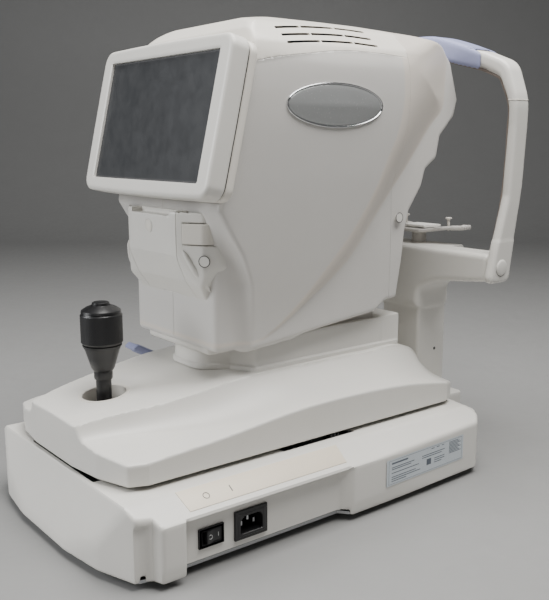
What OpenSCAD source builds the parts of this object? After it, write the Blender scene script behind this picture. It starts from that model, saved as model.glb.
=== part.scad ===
// Table-top autorefractor: a measuring head on a sliding stage, with a chin and forehead rest.
// Operator side is -Y, patient side is +Y, Z is up. Shapes are written about the measuring
// head's own centre plane and moved by base_part() and stage_part(), so that the origin ends
// at the bottom centre of the whole instrument.

/* [Base] */
// Half width of the base
base_w = 157.5; // [150:0.5:165]
// Foremost point of the bowed front skirt
base_front = -250; // [-256:1:-248]
// Height of the base's upper rim
rim_z = 73.5; // [71:0.5:74]
// Height of the chassis tray's floor
tray_z = 48; // [46:0.5:50]

/* [Stage] */
// Sideways offset of the stage from the base's centre
stage_x = -8; // [-12:1:0]
// Half width of the deck
deck_w = 122; // [118:1:123]
// Lower edge of the deck
deck_z = 77; // [76:0.5:79]
// Highest level of the deck, where the column cover stands
plateau_z = 141; // [138:1:144]
// Distance of the cross axle behind the head's centre
axle_y = 20; // [0:1:40]
// Module of the rack teeth
tooth_m = 1.5; // [1.5:0.1:1.6]
// Teeth on each pinion
pinion_teeth = 14; // [14:1:14]

/* [Joystick] */
// Distance of the joystick from the head's centre
joy_y = -175.8; // [-178:0.2:-172]
// Height of the joystick's pivot
joy_pivot_z = 92; // [91:0.5:94]
// Radius of the knurled grip
grip_r = 20.4; // [18:0.1:21]

/* [Head] */
// Highest point of the head
head_top = 491; // [488:1:492]
// Half width of the head at its widest
head_w = 114; // [110:1:116]
// Wall of the moulded covers
wall = 2.6; // [2:0.1:3]
// Height of the measuring axis
eye_z = 410; // [408:1:412]

/* [Monitor] */
// Backward lean of the screen, in degrees
lean = 13.3; // [10:0.1:16]
// Width of the visible screen
screen_w = 199; // [190:1:205]
// Height of the visible screen
screen_h = 119.6; // [115:0.1:124]
// Half width of the bezel
bezel_w = 118; // [116:0.5:120]
// Half height of the bezel
bezel_h = 74.5; // [73:0.5:76]

/* [Headrest] */
// Half width across the arch
arch_w = 150; // [148:0.5:151]
// Thickness of the arch seen from the front
arch_t = 17; // [15:0.5:18]
// Half width of the column
column_w = 31; // [30:0.5:34]
// Height of the chin plate at rest
chin_z = 268; // [266:1:276]

/* [Hidden] */
$fn = 48;
steps = 5;
mid_y = 18.5;
beam_w = arch_w - 12;
eps = 0.01;

ivory = [0.90, 0.89, 0.85];
cream = [0.93, 0.91, 0.84];
silver = [0.80, 0.79, 0.77];
black = [0.06, 0.06, 0.07];
lilac = [0.62, 0.64, 0.80];
steel = [0.62, 0.63, 0.65];
brass = [0.72, 0.58, 0.30];
board = [0.12, 0.33, 0.20];
paper = [0.95, 0.95, 0.93];

pitch = PI * tooth_m;
pinion_r = tooth_m * pinion_teeth / 2;
axle_z = tray_z + 16;
axle_r = 6;
rack_x = 108;
column_front = 231;
column_rear = 281;
pin_x = 35;
chin_y = 262;
screw_y = 60;
screen_pos = [0, -113.5, 390.4];
switch_y = -157;
switch_z = 32;
split_z = 447;
split_y = 128;
badge_pos = [0, 20, 402];
door_y = -95;
door_z = 222.4;
roll_y = -82;
roll_z = 262;
platen_y = -98;
platen_z = 291;

// ---- Outlines ----

function unit(v) = v / norm(v);

// Arc of radius r that rounds the corner b between a and c
function corner(a, b, c, r) =
  let (u = unit(a - b), v = unit(c - b), half = acos(u * v) / 2)
  let (mid = b + unit(u + v) * r / sin(half))
  let (from = b + u * r / tan(half) - mid, to = b + v * r / tan(half) - mid)
  let (start = atan2(from.y, from.x), turn = atan2(to.y, to.x) - start)
  let (sweep = turn > 180 ? turn - 360 : turn < -180 ? turn + 360 : turn)
  [for (i = [0:steps]) mid + r * [cos(start + sweep * i / steps), sin(start + sweep * i / steps)]];

// Points [x, y, r] become a closed outline with corner radii r, which may be left out
function outline(p) = [
  for (i = [0:len(p) - 1])
    let (n = len(p), a = p[(i + n - 1) % n], b = p[i], c = p[(i + 1) % n])
    each (is_undef(b[2]) ? [[b.x, b.y]]
          : corner([a.x, a.y], [b.x, b.y], [c.x, c.y], b[2]))
];

// Half outline with x > 0, from low to high, completed by its mirror image
function both_sides(p) = concat(p, [
  for (i = [len(p) - 1:-1:0]) is_undef(p[i][2]) ? [-p[i].x, p[i].y] : [-p[i].x, p[i].y, p[i][2]]
]);

// Anticlockwise outline moved inwards by d
function inset(p, d) = [
  for (i = [0:len(p) - 1])
    let (n = len(p), e = unit(p[i] - p[(i + n - 1) % n]), f = unit(p[(i + 1) % n] - p[i]))
    let (m = [-e.y, e.x], q = [-f.y, f.x])
    p[i] + d * (m + q) / (1 + m * q)
];

function ellipse(a, b, n) = [for (i = [0:n - 1]) [a * cos(360 * i / n), b * sin(360 * i / n)]];

// ---- Placement helpers ----

module base_part() {
  translate([0, -mid_y, 0]) children();
}

module stage_part() {
  translate([stage_x, -mid_y, 0]) children();
}

// Outline in (y, z), extruded along X
module along_x(x0, x1) {
  translate([x0, 0, 0]) rotate([90, 0, 90]) linear_extrude(x1 - x0) children();
}

// Outline in (x, z), extruded along Y
module along_y(y0, y1) {
  translate([0, y1, 0]) rotate([90, 0, 0]) linear_extrude(y1 - y0) children();
}

module box(low, high) {
  translate(low) cube(high - low);
}

module pair() {
  children();
  mirror([1, 0, 0]) children();
}

module rod_z(x, y, z0, z1, r) {
  translate([x, y, z0]) cylinder(r = r, h = z1 - z0);
}

module rod_x(y, z, x0, x1, r) {
  translate([x0, y, z]) rotate([0, 90, 0]) cylinder(r = r, h = x1 - x0);
}

module rod_y(x, z, y0, y1, r) {
  translate([x, y1, z]) rotate([90, 0, 0]) cylinder(r = r, h = y1 - y0);
}

// Frame of the leaning screen: x across, y up the screen, z out of its face
module on_screen() {
  translate(screen_pos) rotate([90 - lean, 0, 0]) children();
}

// ---- Base ----

function base_plan() = outline(both_sides([
  [45, base_front], [100, base_front + 7], [144, -228, 8], [146, -215, 2.5], [base_w, -209, 5],
  [base_w, 30], [base_w - 6, 200, 14], [118, 236, 18], [62, 246, 6], [62, 284, 8]
]));
function base_section() = both_sides([[base_w - 2, 6.5], [base_w, 20], [base_w, 56], [129, rim_z]]);
function base_side() = [
  [base_front - 1, 6.5], [284, 6.5], [284, 60], [214, 60], [206, rim_z], [base_front + 19, rim_z]
];

module base_solid(d) {
  intersection() {
    translate([0, 0, 6.5]) linear_extrude(rim_z) polygon(inset(base_plan(), d));
    along_y(-300, 300) polygon(inset(base_section(), d));
    along_x(-200, 200) polygon(inset(base_side(), d));
  }
}

// Recess for the sockets, seen in plan, on the right-hand side
module recess(x, d, z1) {
  translate([0, 0, 6]) linear_extrude(z1 - 6)
    polygon([[x, -187 - d], [x, -6 + d / 2], [base_w + 2, 8 + d / 2], [base_w + 2, -187 - d]]);
}

// Opening under the deck, for the axle and for the foot of the joystick, grown by d
module well(d) {
  box([-118.5 - d, -212.5 - d, 39 + d / 3], [118.5 + d, 203.5 + d, 80]);
  box([-62 - d, -229 - d, 39 + d / 3], [62 + d, -200, 80]);
}

// Snap-in panel that carries the power sockets, grown by d
module socket_panel(d) {
  box([144 - d, -174 - d, 6.5 - d], [147 + d, -92 + d, 56 + d]);
}

// One moulding, with the socket panel snapped into its right-hand recess
module base_housing() {
  color(ivory) base_part() {
    difference() {
      base_solid(0);
      difference() {
        translate([0, 0, -3 - eps]) base_solid(3);
        well(3);
        pair() recess(144, 3, 59);
      }
      well(0);
      box([-56, 200, 39], [56, column_rear + 0.3, 80]);
      pair() recess(147, 0, 56);
      socket_panel(0.05);
      box([-150, -150, 22], [-140, -80, 40]);
    }
    difference() {
      socket_panel(0);
      socket_windows();
    }
  }
}

module socket_windows() {
  box([140, -131, 20], [150, -97.4, 44.8]);
  box([140, -168.5, 24.5], [150, -145.5, 39.5]);
}

module base_plate() {
  color(steel) base_part() difference() {
    intersection() {
      translate([0, 0, 6.5]) linear_extrude(3) polygon(inset(base_plan(), 4));
      box([6 - base_w, -300, 6], [base_w - 6, 300, 10]);
    }
    pair() translate([0, 0, -2]) recess(142, 5, 30);
    foot_places() cylinder(r = 2.6, h = 40, center = true);
  }
}

module foot_places() {
  for (p = [[-118, -190], [118, -190], [-112, 190], [112, 190]]) translate([p.x, p.y, 0]) children();
}

module rubber_feet() {
  color(black) base_part() foot_places() {
    cylinder(r = 12, h = 6.5);
    cylinder(r = 2.5, h = 14);
  }
}

module chassis_tray() {
  color(steel) base_part() {
    difference() {
      union() {
        box([-118, -212, tray_z - 4], [118, 203, tray_z]);
        box([-61.5, -228.5, tray_z - 4], [61.5, -203, tray_z]);
        box([-55, 203, tray_z - 4], [55, 279, tray_z]);
      }
      rod_z(0, chin_y, 0, 100, 12);
    }
    for (x = [-84, 84]) box([x - 3, -180, 9.5], [x + 3, 190, tray_z - 4]);
    for (y = [-182, 192]) box([-86, y - 3, 9.5], [86, y + 3, tray_z - 4]);
  }
}

module friction_plate() {
  color([0.25, 0.25, 0.27]) base_part() box([-61.5, -228.5, tray_z], [61.5, -144, tray_z + 1.5]);
}

module power_supply() {
  color(silver) base_part() {
    box([-74, 30, 10], [74, 150, 12]);
    box([-70, 36, 12], [10, 144, 38]);
    rod_z(40, 60, 12, 36, 11);
    rod_z(40, 90, 12, 36, 11);
    box([28, 112, 12], [62, 140, 34]);
  }
}

module axle_racks() {
  teeth = 9;
  root_z = axle_z - pinion_r - 1.25 * tooth_m;
  tip_z = axle_z - pinion_r + tooth_m;
  color(brass) base_part() for (x = [-rack_x, rack_x]) {
    box([x - 5, axle_y - 46, tray_z], [x + 5, axle_y + 46, root_z]);
    along_x(x - 5, x + 5) for (i = [-teeth:teeth - 1])
      let (y = axle_y + (i + 0.5) * pitch)
      polygon([[y - 0.35 * pitch, root_z - eps], [y + 0.35 * pitch, root_z - eps],
               [y + 0.13 * pitch, tip_z], [y - 0.13 * pitch, tip_z]]);
  }
}

module mains_inlet() {
  color(black) base_part() difference() {
    union() {
      box([147, -132.4, 18.5], [149.4, -96.1, 46.4]);
      box([122, -130.6, 20.4], [147, -97.8, 44.4]);
    }
    translate([0, -114.2, 32.4]) rotate([90, 0, 90]) translate([0, 0, 126]) linear_extrude(30)
      polygon([[-12, -8], [12, -8], [12, 4], [8, 8], [-8, 8], [-12, 4]]);
  }
}

module inlet_pins() {
  color(steel) base_part() translate([0, -114.2, 32.4]) {
    for (p = [[-7, -1.5], [7, -1.5], [0, 2.5]]) box([126, p.x - 1, p.y - 2], [143, p.x + 1, p.y + 2]);
  }
}

module switch_frame() {
  color(black) base_part() difference() {
    union() {
      box([147, switch_y - 13, switch_z - 9], [149, switch_y + 13, switch_z + 9]);
      box([128, switch_y - 11.3, switch_z - 7.3], [147, switch_y + 11.3, switch_z + 7.3]);
    }
    box([132, switch_y - 10, switch_z - 6.3], [150, switch_y + 10, switch_z + 6.3]);
    rod_z(139, switch_y, switch_z - 9, switch_z + 9, 1.55);
  }
}

// Rocker, tilted with its first half pressed
module power_rocker() {
  color(black) base_part() translate([139, switch_y, switch_z]) rotate([0, 0, 8]) {
    translate([0, 0, -6]) linear_extrude(12)
      polygon([[-3, -3], [6, -7.8], [11, -8], [9.6, 0], [11, 8], [6, 7.8], [-3, 3]]);
    translate([0, 0, -7.2]) cylinder(r = 1.5, h = 14.4);
  }
}

module edge_strips() {
  rise = atan2(rim_z - 56, base_w - 129);
  color(cream) base_part() pair()
    translate([base_w - 2.2, -183, 57.35]) rotate([0, rise - 180, 0]) mirror([0, 0, 1])
      cube([28, 186, 1.2]);
}

module rating_plate() {
  taper = 6 / 170;
  y0 = 50;
  color([0.80, 0.84, 0.86]) base_part()
    translate([base_w - taper * (y0 - 30) + 0.02, y0, 24]) rotate([0, 0, atan(taper)])
      cube([0.45, 124, 28]);
}

module data_sockets() {
  color(black) base_part() {
    difference() {
      box([-149, -152, 20], [-147, -78, 42]);
      box([-150, -146, 26], [-140, -130, 36]);
      box([-150, -122, 27], [-140, -108, 34]);
      box([-150, -100, 25], [-140, -84, 38]);
    }
    box([-147, -148, 23], [-130, -82, 26]);
  }
}

// ---- Headrest ----

module headrest_column() {
  color(ivory) base_part() difference() {
    translate([0, 0, tray_z]) linear_extrude(195 - tray_z) polygon(outline(both_sides([
      [column_w - 3, column_front, 3], [column_w, column_front + 6], [column_w, column_rear, 6]
    ])));
    translate([0, 0, tray_z - 1]) linear_extrude(200) polygon(outline(both_sides([
      [column_w - 5, column_front + 4, 2], [column_w - 4, column_rear - 4, 3]
    ])));
  }
}

function beam_front() = outline(both_sides([
  [34, 195, 6], [64, 206], [122, 212], [beam_w, 214, 7], [beam_w, 245, 5]
]));

module chin_beam() {
  color(ivory) base_part() difference() {
    along_y(column_front - 9, column_rear - 1) polygon(beam_front());
    along_y(column_front - 5, column_rear - 5) polygon(inset(beam_front(), 3));
    box([5 - column_w, column_front + 5, 190], [column_w - 5, column_rear - 6, 210]);
    rod_z(0, chin_y, 190, 250, 9.06);
    pair() box([56, 256, 190], [beam_w + 0.5, 290, 250]);
  }
}

function arch_outer() = outline(both_sides([
  [arch_w - 2, 214], [arch_w, 300], [arch_w, 413, 60], [135, 453, 24], [102, 466, 60], [40, 481]
]));
function arch_inner() = outline(both_sides([
  [arch_w - arch_t - 2, 200], [arch_w - arch_t, 300], [arch_w - arch_t, 408, 40], [120, 436, 14],
  [96, 446, 40], [40, 460]
]));
function arch_side() = outline([
  [214, 214, 4], [248, 214, 4], [253, 256], [263, 320], [267, 385], [268, 490], [243, 490],
  [243, 385], [238, 310], [222, 250]
]);

module headrest_arch() {
  color(ivory) base_part() difference() {
    intersection() {
      along_y(200, 280) polygon(arch_outer());
      along_x(-200, 200) polygon(arch_side());
    }
    along_y(199, 281) polygon(arch_inner());
    along_y(249, 261) polygon(inset(arch_outer(), 4));
    box([-beam_w - 0.4, 200, 190], [beam_w + 0.4, 290, 250]);
    rod_x(232, 231, -170, 170, 4.1);
  }
}

module arch_liner() {
  color([0.42, 0.38, 0.35]) base_part() difference() {
    along_y(250, 260) polygon(inset(arch_outer(), 12));
    along_y(249, 261) polygon(arch_inner());
    box([-160, 200, 190], [160, 290, 256]);
  }
}

module forehead_pad() {
  color(lilac) base_part() difference() {
    intersection() {
      along_y(238, 277) polygon(outline(both_sides([
        [40, 467], [80, 453], [95, 446, 6], [102, 466, 6], [66, 479], [38, 486], [8, head_top]
      ])));
      along_x(-112, 112) polygon(outline([
        [242, 440, 6], [276, 440, 8], [276, head_top, 10], [242, head_top, 8]
      ]));
    }
    intersection() {
      along_y(242.7, 268.3) polygon(inset(arch_outer(), -0.3));
      box([-130, 240, 400], [130, 270, 500]);
    }
  }
}

module pivot_caps() {
  color(ivory) base_part() pair() {
    rod_x(232, 231, beam_w + 0.4, arch_w - 1.2, 4);
    rod_x(232, 231, arch_w - 1.2, arch_w + 1, 9);
  }
}

module chin_motor() {
  color([0.2, 0.2, 0.22]) base_part() difference() {
    union() {
      box([-21, chin_y - 17, 86], [21, chin_y + 14, 124]);
      box([6.5 - column_w, chin_y - 26, 124], [column_w - 6.5, chin_y + 13.5, 128]);
    }
    rod_z(0, chin_y, 80, 130, 3.05);
  }
}

module chin_screw() {
  color(steel) base_part() {
    rod_z(0, chin_y, 100, 129, 3);
    rod_z(0, chin_y, 129, 230, 4);
    rod_z(0, chin_y, 128.3, 131, 7);
  }
}

function chin_plan() = outline(both_sides([
  [20, 240, 4], [30, 252, 8], [54, 262, 10], [pin_x + 33, 270, 7], [pin_x + 28, 287, 6]
]));

module chinrest() {
  color([0.84, 0.83, 0.80]) base_part() difference() {
    union() {
      intersection() {
        translate([0, 0, chin_z - 12]) linear_extrude(20) polygon(chin_plan());
        along_y(200, 300) polygon(outline(both_sides([
          [26, chin_z - 9, 4], [46, chin_z - 5], [70, chin_z - 5], [70, chin_z + 1], [40, chin_z],
          [20, chin_z - 4]
        ])));
      }
      rod_z(0, chin_y, 150, chin_z - 6, 9);
    }
    rod_z(0, chin_y, 140, 244, 4.3);
    pair() rod_z(pin_x, 276, 200, 300, 1.65);
  }
}

module chin_paper_pad() {
  color(paper) base_part() box([-19, 250, chin_z - 4], [19, 280, chin_z - 1.5]);
}

module paper_pin(x) {
  color(cream) base_part() {
    rod_z(x, 276, chin_z - 8, chin_z + 8, 1.6);
    rod_z(x, 276, chin_z + 6.5, chin_z + 8.5, 4);
  }
}

module paper_pin_left() {
  paper_pin(-pin_x);
}

module paper_pin_right() {
  paper_pin(pin_x);
}

// ---- Stage drive ----

module axle_carrier() {
  color(steel) base_part() difference() {
    union() {
      pair() box([94, axle_y - 24, axle_z - 8], [102, axle_y + 9, axle_z + 8]);
      box([-102, axle_y - 24, axle_z - 8], [102, axle_y - 17, axle_z + 2]);
    }
    rod_x(axle_y, axle_z, -110, 110, axle_r + 0.04);
  }
}

module cross_axle() {
  color([0.75, 0.76, 0.78]) base_part() rod_x(axle_y, axle_z, -104, 104, axle_r);
}

module axle_pinions() {
  half = 0.22 * 360 / pinion_teeth;
  tip = 0.10 * 360 / pinion_teeth;
  root_r = pinion_r - 1.25 * tooth_m;
  tip_r = pinion_r + 0.9 * tooth_m;
  color(brass) base_part() for (x = [-rack_x - 4, rack_x - 4])
    translate([x, axle_y, axle_z]) rotate([0, 90, 0]) linear_extrude(8)
      polygon([for (i = [0:pinion_teeth - 1]) let (a = i * 360 / pinion_teeth)
        each [root_r * [cos(a - half * 1.25), sin(a - half * 1.25)],
              tip_r * [cos(a - tip), sin(a - tip)], tip_r * [cos(a + tip), sin(a + tip)],
              root_r * [cos(a + half * 1.25), sin(a + half * 1.25)]]]);
}

module axle_bushes() {
  color(steel) stage_part() for (x = [-35, 35]) difference() {
    box([x - 10, axle_y - 11, axle_z - 9], [x + 10, axle_y + 11, 80]);
    rod_x(axle_y, axle_z, x - 11, x + 11, axle_r + 0.05);
  }
}

// ---- Deck ----

function deck_plan() = outline(both_sides([
  [40, -231], [80, -226], [112, -214, 14], [deck_w, -196], [deck_w, 190], [112, 210, 12], [60, 213]
]));
function deck_ridge() = [
  [-240, deck_z], [220, deck_z], [220, 95], [150, 106], [60, 113], [-10, 114], [-120, 104],
  [-214, 96], [-240, 92]
];
function deck_hump() = outline([
  [-228, 90], [208, 90], [208, 98, 6], [164, plateau_z, 14], [-88, plateau_z, 30],
  [-150, 131, 60], [-222, 121, 10]
]);
function deck_section() = both_sides([[118, 90], [118, 100], [72, 135], [62, plateau_z]]);

module deck_solid(d) {
  intersection() {
    translate([0, 0, deck_z]) linear_extrude(80) polygon(inset(deck_plan(), d));
    union() {
      along_x(-200, 200) polygon(inset(deck_ridge(), d));
      intersection() {
        along_x(-200, 200) polygon(inset(deck_hump(), d));
        along_y(-300, 300) polygon(inset(deck_section(), d));
      }
    }
  }
}

module deck_cover() {
  color(ivory) stage_part() difference() {
    union() {
      difference() {
        deck_solid(0);
        translate([0, 0, -wall - eps]) deck_solid(wall);
      }
      rod_z(-96, -58, 100, 124, 13);
    }
    rod_z(0, joy_y, 100, 140, 21.5);
    translate([0, 0, plateau_z - 10]) linear_extrude(20) polygon(inset(collar_plan(), 3));
    box([-100.2, -76, 96], [-91.8, -40, 130]);
    rod_x(-58, 117, -112, -80, 2.05);
  }
}

module deck_plate() {
  color(steel) stage_part() difference() {
    union() {
      box([-112, -200, 80], [112, 196, 84]);
      pair() box([18, joy_y - 7, 84], [22, joy_y + 7, 98]);
    }
    rod_z(0, joy_y, 70, 90, 16.4);
    rod_x(joy_y, joy_pivot_z, -30, 30, 2.06);
    rod_z(0, screw_y, 70, 90, 8);
  }
}

module guide_posts() {
  color([0.75, 0.76, 0.78]) stage_part() for (x = [-40, 40]) rod_z(x, 100, 84, 300, 8);
}

module lift_motor() {
  color([0.2, 0.2, 0.22]) stage_part() difference() {
    box([-24, screw_y - 24, 84], [24, screw_y + 24, 118]);
    rod_z(0, screw_y, 80, 130, 5.05);
  }
}

module lift_screw() {
  color([0.7, 0.71, 0.73]) stage_part() {
    rod_z(0, screw_y, 92, 292, 5);
    rod_z(0, screw_y, 118.4, 122, 9);
  }
}

function collar_plan() = outline(both_sides([
  [26, -84, 24], [44, -60, 6], [74, -46, 8], [74, 160, 8]
]));

module lower_collar() {
  color(ivory) stage_part() difference() {
    union() {
      translate([0, 0, plateau_z]) linear_extrude(4.5) polygon(collar_plan());
      translate([0, 0, plateau_z]) linear_extrude(34) polygon(inset(collar_plan(), 2));
    }
    translate([0, 0, plateau_z - 1]) linear_extrude(40) polygon(inset(collar_plan(), 4.6));
    box([-60, -90, plateau_z + 4.5], [60, -48, plateau_z + 60]);
  }
}

module lock_lever() {
  color(lilac) stage_part() difference() {
    union() {
      rod_x(-58, 117, -99.8, -92.2, 7);
      rod_x(-58, 117, -107, -86, 2);
      along_x(-99.8, -92.2) polygon(outline([
        [-62, 112], [-54, 120], [-60, 128, 4], [-86, 142, 3], [-90, 138, 2], [-68, 122, 6]
      ]));
      along_x(-108, -92.2) polygon(outline([
        [-72, 131], [-69, 134], [-88, 143.5, 2], [-92, 139, 2]
      ]));
    }
    box([-109, -75, 100], [-100.2, -63, 131.5]);
  }
}

// ---- Joystick ----

module gimbal_ring() {
  color(steel) stage_part() translate([0, joy_y, joy_pivot_z]) difference() {
    union() {
      translate([0, 0, -3]) cylinder(r = 15.8, h = 6);
      rod_x(0, 0, -21.5, 21.5, 2);
    }
    translate([0, 0, -4]) cylinder(r = 12, h = 8);
    rod_y(0, 0, -20, 20, 2.06);
  }
}

module joystick_stem() {
  color(black) stage_part() translate([0, joy_y, 0]) {
    translate([0, 0, joy_pivot_z]) sphere(r = 9.5);
    rod_z(0, 0, joy_pivot_z, 142, 7.5);
    rod_z(0, 0, tray_z + 10.7, joy_pivot_z, 4);
    translate([0, 0, tray_z + 10.7]) sphere(r = 8.6);
    rod_y(0, joy_pivot_z, -15.4, 15.4, 2);
  }
}

module joystick_grip() {
  color(black) stage_part() translate([0, joy_y, 0]) rotate_extrude() polygon([
    [0, 142], [9, 142], [12, 149], [16.5, 163], [19, 174], [19, 176.4], [12, 176.6],
    [12, 208.2], [grip_r - 1, 208.4], [9.5, 213], [9.5, 216], [8.6, 216.2], [8.6, 206], [0, 206]
  ]);
}

module grip_ring() {
  ribs = 36;
  color(black) stage_part() translate([0, joy_y, 176.9]) difference() {
    union() {
      cylinder(r = grip_r - 0.7, h = 31);
      for (i = [0:ribs - 1]) rotate([0, 0, i * 360 / ribs])
        translate([grip_r - 1.2, -0.9, 1]) cube([1.2, 1.8, 29]);
    }
    translate([0, 0, -1]) cylinder(r = 12.06, h = 40);
  }
}

module measure_button() {
  color(black) stage_part() translate([0, joy_y, 0]) {
    rod_z(0, 0, 209, 218, 8.52);
  }
}

// ---- Head ----

function head_side() = outline([
  [-62, 169], [108, 186], [124, 197, 6], [141, 198], [148, 242], [151, 270], [158, 294], [177, 319, 8],
  [184, 338, 8], [202, 350, 8], [209, 374, 8], [233, 396, 6], [240, 415, 6], [229, 456, 14],
  [212, 473, 20], [160, 482], [100, 489], [60, head_top], [-10, head_top - 1], [-52, 482, 16],
  [-64.6, 470, 6], [-103.6, 306, 6], [-70, 300]
]);
function head_front() = outline(both_sides([
  [86, 160], [101, 260], [109, 340], [head_w - 1, 400], [head_w - 1, 438, 14], [102, 462, 16],
  [84, 480, 20], [50, 489], [20, head_top]
]));
function head_plan() = outline(both_sides([
  [104, -112], [110, -60], [head_w, 10], [head_w, 90, 40], [106, 124, 10], [88, 142, 14], [84, 190],
  [80, 242]
]));

module head_solid(d) {
  intersection() {
    along_x(-200, 200) polygon(inset(head_side(), d));
    along_y(-300, 300) polygon(inset(head_front(), d));
    translate([0, 0, 100]) linear_extrude(500) polygon(inset(head_plan(), d));
  }
}

module head_shell() {
  difference() {
    head_solid(0);
    head_solid(wall);
    translate([0, 0, 160]) linear_extrude(40) polygon(skirt_plan());
    box([-52, -110, 165], [52, -60, 330]);
  }
}

// Opening through the head's underside, around the column cover
function skirt_plan() = both_sides([[60, -58], [82, -50], [82, 166], [60, 170]]);

// Side view of the raised sweep across the head
function sweep_band() = outline([
  [-58, 170], [-36, 172], [22, 214], [78, 262], [112, 330], [128, 392, 30], [126, 446], [112, 446],
  [112, 400, 30], [94, 338], [60, 278], [10, 226], [-40, 184]
]);

module sweep() {
  pair() difference() {
    intersection() {
      head_solid(-1.2);
      along_x(80, 200) polygon(sweep_band());
    }
    head_solid(0.5);
  }
}

module side_cover(side) {
  difference() {
    intersection() {
      union() {
        head_shell();
        sweep();
      }
      box([side > 0 ? 0.15 : -200, -120, 150], [side > 0 ? 200 : -0.15, split_y - 0.2, split_z - 0.2]);
    }
    badge_cut();
  }
}

module badge_cut() {
  pair() translate(badge_pos + [head_w - 3, 0, 0]) rotate([90, 0, 90]) linear_extrude(8)
    polygon(ellipse(61, 21, 48));
}

module right_cover() {
  color(silver) stage_part() side_cover(1);
}

module left_cover() {
  color(silver) stage_part() side_cover(-1);
}

module top_cover() {
  color(ivory) stage_part() difference() {
    intersection() {
      head_shell();
      box([-200, -120, split_z + 0.2], [200, split_y - 0.2, 600]);
    }
    pair() for (z = [454, 461, 468], k = [-1, 0, 1])
      box([60, 20 + 40 * k - 18, z - 1.6], [130, 20 + 40 * k + 18, z + 1.6]);
  }
}

module rear_cover() {
  color(ivory) stage_part() difference() {
    intersection() {
      head_shell();
      box([-200, split_y + 0.2, 150], [200, 300, 600]);
    }
    rod_y(0, eye_z, 120, 260, 28.3);
  }
}

function nose_plan(d) = inset(outline(both_sides([
  [20, -124], [46, -118, 8], [70, -104, 8], [79, -88, 8], [80, -62]
])), d);
function nose_side() = outline([
  [-92, 162, 5], [-62.5, 162], [-70.5, 299.4], [-98, 304], [-122, 304, 4], [-119, 262],
  [-108, 236, 20], [-92, 214, 10]
]);
function nose_front() = both_sides([[56, 160], [60, 215], [79, 258], [80, 310]]);

module nose_solid(d) {
  intersection() {
    translate([0, 0, 150]) linear_extrude(170) polygon(nose_plan(d));
    along_x(-90, 90) polygon(inset(nose_side(), d));
    along_y(-150, -50) polygon(inset(nose_front(), d));
  }
}

module nose_cover() {
  color(ivory) stage_part() difference() {
    union() {
      difference() {
        nose_solid(0);
        nose_solid(wall);
        box([-46.4, -130, door_z - 3.5], [46.4, -70, 310]);
        box([54, -125, 280], [72, -94, 294]);
        box([-44, -90, 228], [44, -50, 300]);
      }
      pair() box([46.4, -98, 217.4], [51, -91, 227]);
    }
    rod_x(door_y, door_z, -49.5, 49.5, 1.55);
  }
}

module printer_door() {
  color(cream) stage_part() difference() {
    union() {
      intersection() {
        difference() {
          nose_solid(0);
          intersection() {
            nose_solid(wall);
            box([-43, -130, 200], [43, -60, 320]);
          }
        }
        box([-46, -130, door_z - 2], [46, -84, 303]);
      }
      rod_x(door_y, door_z, -43.5, 43.5, 3);
    }
    rod_x(door_y, door_z, -50, 50, 1.56);
  }
}

module door_button() {
  color(cream) stage_part() {
    intersection() {
      nose_solid(-1.5);
      box([54.4, -122, 280.4], [71.6, -98, 293.6]);
    }
    rod_y(63, 287, -98, -84, 2.5);
  }
}

module paper_roll() {
  color(paper) stage_part() difference() {
    rod_x(roll_y, roll_z, -28.5, 28.5, 20);
    rod_x(roll_y, roll_z, -30, 30, 6.08);
  }
}

module platen_roller() {
  color(black) stage_part() {
    rod_x(platen_y, platen_z, -30, 30, 5);
    rod_x(platen_y, platen_z, -36, 36, 2);
  }
}

module upper_collar() {
  color(silver) stage_part() difference() {
    box([-64, -36, 154], [64, 126, 250]);
    box([-61, -33, 150], [61, 123, 260]);
  }
}

module optical_bench() {
  color(steel) stage_part() difference() {
    union() {
      box([-82, -52, 350], [82, 140, 356]);
      box([-66, -40, 250], [66, 140, 256]);
      box([-66, 110, 256], [-58, 130, 350]);
      box([58, 110, 256], [66, 130, 350]);
      box([-66, -40, 256], [-58, -20, 350]);
      box([58, -40, 256], [66, -20, 350]);
      for (x = [-40, 40]) rod_z(x, 100, 226, 256, 14);
      rod_z(0, screw_y, 230, 250, 11);
      box([-30, 60, 356], [30, 66, 440]);
      pair() box([30, -58, 230], [38, -40, 300]);
    }
    for (x = [-40, 40]) rod_z(x, 100, 200, 302, 8.06);
    rod_z(0, screw_y, 200, 302, 5.06);
    rod_y(0, eye_z, 50, 80, 12);
  }
}

module lens_group() {
  color(black) stage_part() {
    difference() {
      union() {
        rod_y(0, eye_z, 150, 238, 28);
        rod_y(0, eye_z, 70, 150, 20);
      }
      rod_y(0, eye_z, 228, 239, 22);
      rod_y(0, eye_z, 60, 240, 14);
    }
    rod_y(0, eye_z, 200, 210, 14);
    box([-24, 10, eye_z - 24], [24, 56, eye_z + 24]);
  }
}

module monitor_bezel() {
  color(ivory) stage_part() on_screen() difference() {
    translate([0, 0, -18]) linear_extrude(20) polygon(outline(both_sides([
      [bezel_w, -bezel_h, 12], [bezel_w, bezel_h, 12]
    ])));
    translate([0, 0, -19]) linear_extrude(18) polygon(outline(both_sides([
      [bezel_w - 3, 3 - bezel_h, 9], [bezel_w - 3, bezel_h - 3, 9]
    ])));
    cube([screen_w, screen_h, 20], center = true);
  }
}

module monitor_back() {
  color(silver) stage_part() on_screen() difference() {
    translate([0, 0, -28]) linear_extrude(9.7) polygon(outline(both_sides([
      [bezel_w - 1, -bezel_h - 3, 12], [bezel_w - 1, bezel_h - 1, 12]
    ])));
    translate([0, 0, -25.5]) linear_extrude(10) polygon(outline(both_sides([
      [bezel_w - 4, -bezel_h, 10], [bezel_w - 4, bezel_h - 4, 10]
    ])));
  }
}

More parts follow.
